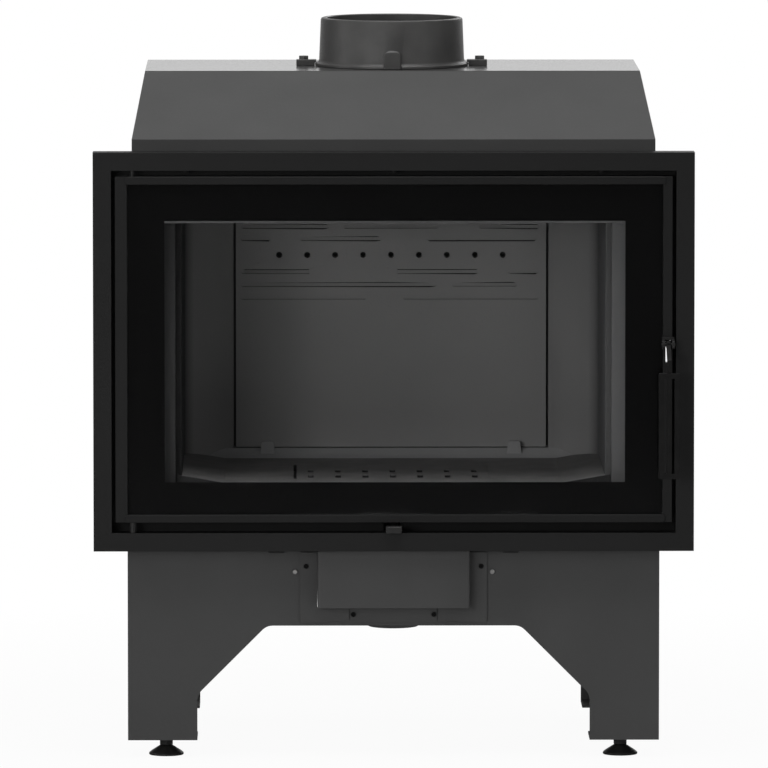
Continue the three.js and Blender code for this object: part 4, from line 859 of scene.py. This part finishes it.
PLATE_SCREWS = [f"plate_screw_{number}" for number in range(1, 5)]
PANEL_SCREWS = ["panel_screw_1", "panel_screw_2"]
FRAME_SCREWS = [f"frame_screw_{number}" for number in range(1, 4)]
screw_set("plate_screws", PLATE_SCREWS, SCREW_STEEL, SMALL_HEAD, TOWARDS_ROOM)
screw_set("panel_screws", PANEL_SCREWS, ZINC, SMALL_HEAD, TOWARDS_ROOM)
screw_set("frame_screws", FRAME_SCREWS, BLACK_STEEL, FRAME_HEAD, HEAD_DOWN)

# %% [markdown]
# ## The rope seal
# The seal is one length of round glass-fibre rope, laid in a ring round the door opening and pressed a
# little flat. Three strands wind round each other. The tree runs a strand along the ring by moving each
# point of the path in a small circle that turns as the path goes on, and makes a tube of it. A whole number
# of turns closes the ring without a step.

# %% A tree for a twisted rope
STRANDS = 3
rope, given = tree_with("twisted_rope", ("Strand Radius", "Half Width", "Half Depth", "Turns", "Step"))
ring = step(rope, "MeshToCurve", Mesh=given["Seed"])
ring = step(rope, "ResampleCurve", mode="LENGTH", Curve=ring, Length=given["Step"])
along = rope.nodes.new("GeometryNodeSplineParameter").outputs["Factor"]
tangent = rope.nodes.new("GeometryNodeInputTangent").outputs[0]
aside = rope.nodes.new("ShaderNodeVectorMath")
aside.operation = "CROSS_PRODUCT"
rope.links.new(tangent, aside.inputs[0])
aside.inputs[1].default_value = (0, 1, 0)
profile = step(rope, "CurvePrimitiveCircle", Resolution=8, Radius=given["Strand Radius"])
turned_by = calculated(rope, "MULTIPLY", along, given["Turns"])
turned_by = calculated(rope, "MULTIPLY", turned_by, 2 * math.pi)
strands = []
for strand in range(STRANDS):
    angle = calculated(rope, "ADD", turned_by, 2 * math.pi * strand / STRANDS)
    sideways = calculated(rope, "MULTIPLY", calculated(rope, "COSINE", angle), given["Half Width"])
    inwards = calculated(rope, "MULTIPLY", calculated(rope, "SINE", angle), given["Half Depth"])
    across = rope.nodes.new("ShaderNodeVectorMath")
    across.operation = "SCALE"
    rope.links.new(aside.outputs[0], across.inputs[0])
    rope.links.new(sideways, across.inputs["Scale"])
    offset = rope.nodes.new("ShaderNodeVectorMath")
    rope.links.new(across.outputs[0], offset.inputs[0])
    rope.links.new(vector(rope, Y=inwards), offset.inputs[1])
    wound = step(rope, "SetPosition", Geometry=ring, Offset=offset.outputs[0])
    strands.append(step(rope, "CurveToMesh", Curve=wound, Profile_Curve=profile))
close_tree(rope, joined(rope, *strands), given["Finish"])
print("rope tree:", len(rope.nodes), "nodes")

# %% [markdown]
# ### Laying the seal
# The path runs along the middle of the packed rope, with a round corner at each corner of the door opening.
# Its length is that of the real seal, and it sets how often the strands turn.

# %% The rope seal
ROPE_WIDE = 9 * MM
CORNER_RADIUS = 10 * MM
CORNER_STEPS = 6
STRAND_RADIUS = 2.1 * MM
TURN_LENGTH = 17 * MM
PATH_STEP = 2.5 * MM
rope_low, rope_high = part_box("door_rope")
rope_middle = (rope_low[1] + rope_high[1]) / 2
half_wide = (rope_high[0] - rope_low[0] - ROPE_WIDE) / 2
half_tall = (rope_high[2] - rope_low[2] - ROPE_WIDE) / 2
rope_centre = (rope_low + rope_high) / 2
seeds = []
for quarter, (right, up) in enumerate(((1, 1), (-1, 1), (-1, -1), (1, -1))):
    for index in range(CORNER_STEPS + 1):
        angle = math.radians(90 * (quarter + index / CORNER_STEPS))
        seeds.append((
            rope_centre[0] + right * (half_wide - CORNER_RADIUS) + CORNER_RADIUS * math.cos(angle),
            rope_middle,
            rope_centre[2] + up * (half_tall - CORNER_RADIUS) + CORNER_RADIUS * math.sin(angle),
        ))
ring_edges = [(index, (index + 1) % len(seeds)) for index in range(len(seeds))]
ring_length = 4 * (half_wide + half_tall) - (8 - 2 * math.pi) * CORNER_RADIUS
rope_mesh = grown(
    "rope_strands", rope, seeds, ring_edges, ROPE_BRAID,
    Strand_Radius=STRAND_RADIUS, Half_Width=ROPE_WIDE / 2 - STRAND_RADIUS,
    Half_Depth=(rope_high[1] - rope_low[1]) / 2 - STRAND_RADIUS,
    Turns=float(round(ring_length / TURN_LENGTH)), Step=PATH_STEP,
)
rope_mesh.shade_smooth()
add_piece("rope_strands", rope_mesh, ROPE_BRAID, "door", ["door_rope"])
print("rope seal:", round(ring_length, 3), "m long")

# %% [markdown]
# ## Threads on the feet
# A levelling foot turns in a threaded flange, so its stem carries a thread. The tree coils a small ridge
# round each stem. It stands out by less than the clearance in the lock nut, so it never touches the nut.

# %% A tree for threads
threads, given = tree_with("threads", ("Stem Radius", "Ridge", "Turns", "Height"))
coil = step(
    threads, "CurveSpiral", Resolution=20, Rotations=given["Turns"],
    Start_Radius=given["Stem Radius"], End_Radius=given["Stem Radius"], Height=given["Height"],
)
ridge = step(threads, "CurvePrimitiveCircle", Resolution=4, Radius=given["Ridge"])
thread = step(threads, "CurveToMesh", Curve=coil, Profile_Curve=ridge, Fill_Caps=True)
copies = step(threads, "InstanceOnPoints", Points=given["Seed"], Instance=thread)
close_tree(threads, copies, given["Finish"])
print("thread tree:", len(threads.nodes), "nodes")

# %% [markdown]
# ### Cutting the threads
# A thread starts over the disk of the foot and stops just under the top of the stem. Each one rides on its
# own foot, so it moves with it.

# %% The threads
STEM_RADIUS = 5 * MM
THREAD_PITCH = 1.5 * MM
THREAD_RIDGE = 0.25 * MM
THREAD_START = 13 * MM
THREAD_END = 3 * MM  # under the top of the stem
for end, side in FEET:
    low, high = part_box(f"foot_{end}_{side}")
    middle = (low + high) / 2
    length = high[2] - THREAD_START - THREAD_END
    mesh = grown(
        f"thread_{end}_{side}", threads, [(middle[0], middle[1], THREAD_START)], [], BLACK_STEEL,
        Stem_Radius=STEM_RADIUS, Ridge=THREAD_RIDGE, Turns=length / THREAD_PITCH, Height=length,
    )
    add_piece(f"thread_{end}_{side}", mesh, BLACK_STEEL, f"foot_{end[0]}{side[0]}")

# %% [markdown]
# ## The print on the glass
# The enamel border lies on the back of the pane, a tenth of a millimetre thick, and leaves a clear window.
# It is a flat ring, so it is made point by point: an outer and an inner rectangle, front and back. A
# picture on the pane would do as well from the front, but a thin solid also has a back and an edge.

# %% The enamel border
PRINT_GAP = 0.05 * MM
PRINT_THICK = 0.10 * MM
WINDOW = {"left": -276.0 * MM, "right": 278.7 * MM, "bottom": 337.4 * MM, "top": 653.2 * MM}
PRINT_EDGE = 0.5 * MM
glass_low, glass_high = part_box("door_glass")


def rectangle(left, right, bottom, top, y):
    """The four corners of an upright rectangle."""
    return [(left, y, bottom), (right, y, bottom), (right, y, top), (left, y, top)]


def flat_ring(name, outer, inner, y, thick):
    """A flat rectangular ring between two rectangles (left, right, bottom, top)."""
    points = []
    for depth in (y, y + thick):
        points += rectangle(*outer, depth) + rectangle(*inner, depth)
    faces = []
    for corner in range(4):
        after = (corner + 1) % 4
        faces.append((corner, after, after + 4, corner + 4))
        faces.append((after + 8, corner + 8, corner + 12, after + 12))
        faces.append((after, corner, corner + 8, after + 8))
        faces.append((corner + 4, after + 4, after + 12, corner + 12))
    mesh = bpy.data.meshes.new(name)
    mesh.from_pydata(points, [], faces)
    return mesh


print_y = glass_high[1] + PRINT_GAP
outer = (
    glass_low[0] + PRINT_EDGE, glass_high[0] - PRINT_EDGE,
    glass_low[2] + PRINT_EDGE, glass_high[2] - PRINT_EDGE,
)
window = (WINDOW["left"], WINDOW["right"], WINDOW["bottom"], WINDOW["top"])
border = flat_ring("glass_border", outer, window, print_y, PRINT_THICK)
add_piece("glass_border", border, BORDER, "door")
wide, tall = window[1] - window[0], window[3] - window[2]
print("clear window:", round(wide / MM), "by", round(tall / MM), "mm")

# %% [markdown]
# ### The painted highlight over the window
# Along the top of the window the edge of the enamel catches the light. That highlight is painted: a fine
# pale line, a flat bar in the plane of the print.

# %% The painted highlight over the window
LINE_HEIGHT = 2.6 * MM
line_mesh = bpy.data.meshes.new("window_line")
bottom, top = WINDOW["top"] - LINE_HEIGHT, WINDOW["top"]
front = rectangle(WINDOW["left"], WINDOW["right"], bottom, top, print_y)
back = rectangle(WINDOW["left"], WINDOW["right"], bottom, top, print_y + PRINT_THICK)
line_faces = [(0, 1, 2, 3), (7, 6, 5, 4), (1, 0, 4, 5), (2, 1, 5, 6), (3, 2, 6, 7), (0, 3, 7, 4)]
line_mesh.from_pydata(front + back, [], line_faces)
add_piece("window_line", line_mesh, PAINTED_EDGE_HIGHLIGHT, "door")
print("pale line:", round(LINE_HEIGHT / MM, 1), "mm high")

# %% [markdown]
# ## Floor
# The photograph has a plain white background. The floor is a pale disk: the lamps light it and the insert
# shades it as on any floor, but what the camera sees of it, directly or through the pane, is mostly plain
# white. A mirrored ray sees only the paper as the lamps light it, so black paint and enamel stay black.

# %% Floor
FLOOR_RADIUS = 3.0
FLOOR_SIDES = 96
work = bmesh.new()
bmesh.ops.create_circle(work, cap_ends=True, segments=FLOOR_SIDES, radius=FLOOR_RADIUS)
floor_mesh = bpy.data.meshes.new("floor")
work.to_mesh(floor_mesh)
work.free()
floor = bpy.data.objects.new("floor", floor_mesh)
bpy.context.scene.collection.objects.link(floor)
print("floor:", 2 * FLOOR_RADIUS, "m wide")

# %% [markdown]
# ### The paper of the floor
# Plain white alone would make the insert float. So close to it a small share of the lit paper is mixed in,
# which shows a soft shadow, and farther out the white is complete.

# %% The paper of the floor
WHITE_NEAR = 0.95  # share of plain white close to the insert
WHITE_FAR = 1.0
SHADOW_REACH = (0.7, 1.5)  # where the share goes from near to far
PAPER_DARK = 0.70
PAPER_LIGHT = 0.74


def seen_directly(tree, rays):
    """1 for what the camera sees, also through a pane, but 0 for light that bounced on its way."""
    bounces = calculated(tree, "ADD", rays.outputs["Glossy Depth"], rays.outputs["Diffuse Depth"])
    unbounced = calculated(tree, "LESS_THAN", bounces, 0.5)  # 1 when nothing was counted
    through = calculated(tree, "MULTIPLY", rays.outputs["Is Transmission Ray"], unbounced)
    return calculated(tree, "MAXIMUM", rays.outputs["Is Camera Ray"], through)


paper, tree, shader, place = new_finish("floor_paper")
shader.inputs["Roughness"].default_value = 0.9
shader.inputs["Specular IOR Level"].default_value = 0.0
fleck = speckle(tree, place, 60, detail=3)
tree.links.new(between(tree, fleck, grey(PAPER_DARK), grey(PAPER_LIGHT)), shader.inputs["Base Color"])
reach = node(tree, "VectorMath", operation="LENGTH")
tree.links.new(place, reach.inputs[0])
white_share = spread(tree, reach.outputs["Value"], WHITE_NEAR, WHITE_FAR, *SHADOW_REACH)
seen = seen_directly(tree, node(tree, "LightPath"))
share = calculated(tree, "MULTIPLY", seen, white_share)
white = node(tree, "Emission").outputs["Emission"]
end_with_mix(tree, "Material Output", share, shader.outputs["BSDF"], white)
floor_mesh.materials.append(paper)
print("paper is white from", SHADOW_REACH[1], "m")

# %% [markdown]
# ## World
# The world is white where the camera sees it, directly or through the pane. Mirrored rays see it white only
# far behind the insert, where a real backdrop would stand: that lights the flat top of the hood, which is
# seen nearly edge on. To every other ray it is a dim studio, a little brighter towards its ceiling.

# %% World
STUDIO_LOW = 0.015
STUDIO_HIGH = 0.22
CEILING_FROM = -0.1
CEILING_TO = 1.0
BACKDROP_FROM = 0.7  # the Y of a direction where the backdrop starts, and where it is all white
BACKDROP_TO = 1.0
world = bpy.data.worlds.new("studio")
bpy.context.scene.world = world
world.use_nodes = True
tree = world.node_tree
dim = tree.nodes["Background"]
direction = node(tree, "TexCoord").outputs["Generated"]
ceiling = spread(tree, on_axis(tree, direction, "Z"), 0, 1, CEILING_FROM, CEILING_TO)
tree.links.new(between(tree, ceiling, grey(STUDIO_LOW), grey(STUDIO_HIGH)), dim.inputs["Color"])
white = node(tree, "Background")
white.inputs["Color"].default_value = (1, 1, 1, 1)
behind = spread(tree, on_axis(tree, direction, "Y"), 0, 1, BACKDROP_FROM, BACKDROP_TO)
rays = node(tree, "LightPath")
mirrored = calculated(tree, "MULTIPLY", rays.outputs["Is Glossy Ray"], behind)
share = calculated(tree, "MAXIMUM", seen_directly(tree, rays), mirrored)
end_with_mix(tree, "World Output", share, dim.outputs[0], white.outputs[0])
print("studio from", STUDIO_LOW, "to", STUDIO_HIGH)

# %% [markdown]
# ## Lamps
# A wide softbox overhead makes the slope of the hood the brightest part, as in the photograph. One in front
# on the left draws the soft band down the collar and lights the right side of the firebox through the
# glass, and a lower one beside it reaches the stand under the frame. One far out on the left rims the left
# sides. A weak one on the right and one behind keep the other sides readable. All are large, so shadows are
# soft. A sun or one small lamp would give hard shadows, which the photograph doesn't have.

# %% Lamps
def softbox(name, place, aim, width, height, watts):
    """A rectangular lamp at a place, turned towards a point of the insert."""
    data = bpy.data.lights.new(name, "AREA")
    data.shape = "RECTANGLE"
    data.size, data.size_y, data.energy = width, height, watts
    lamp = bpy.data.objects.new(name, data)
    lamp.location = place
    lamp.rotation_euler = (Vector(aim) - Vector(place)).to_track_quat("-Z", "Y").to_euler()
    bpy.context.scene.collection.objects.link(lamp)
    print(name, watts, "W")


HOOD_HEIGHT = (0, 0, 0.6)
MIDDLE = (0, 0, 0.5)
softbox("overhead", (0, -0.7, 4.0), HOOD_HEIGHT, 3.0, 2.6, 97)
softbox("front_left", (-2.5, -3.4, 1.4), MIDDLE, 1.8, 1.8, 22)
softbox("front_low", (-1.7, -4.2, 0.9), MIDDLE, 1.4, 0.8, 20)
softbox("left", (-4.0, -0.6, 1.2), MIDDLE, 1.6, 1.6, 20)
softbox("front_right", (3.0, -2.4, 1.3), MIDDLE, 1.6, 1.6, 10)
softbox("behind", (1.5, 3.6, 2.2), MIDDLE, 2.0, 1.6, 24)
bpy.context.scene.view_settings.view_transform = "Standard"

# %% [markdown]
# ## Finish
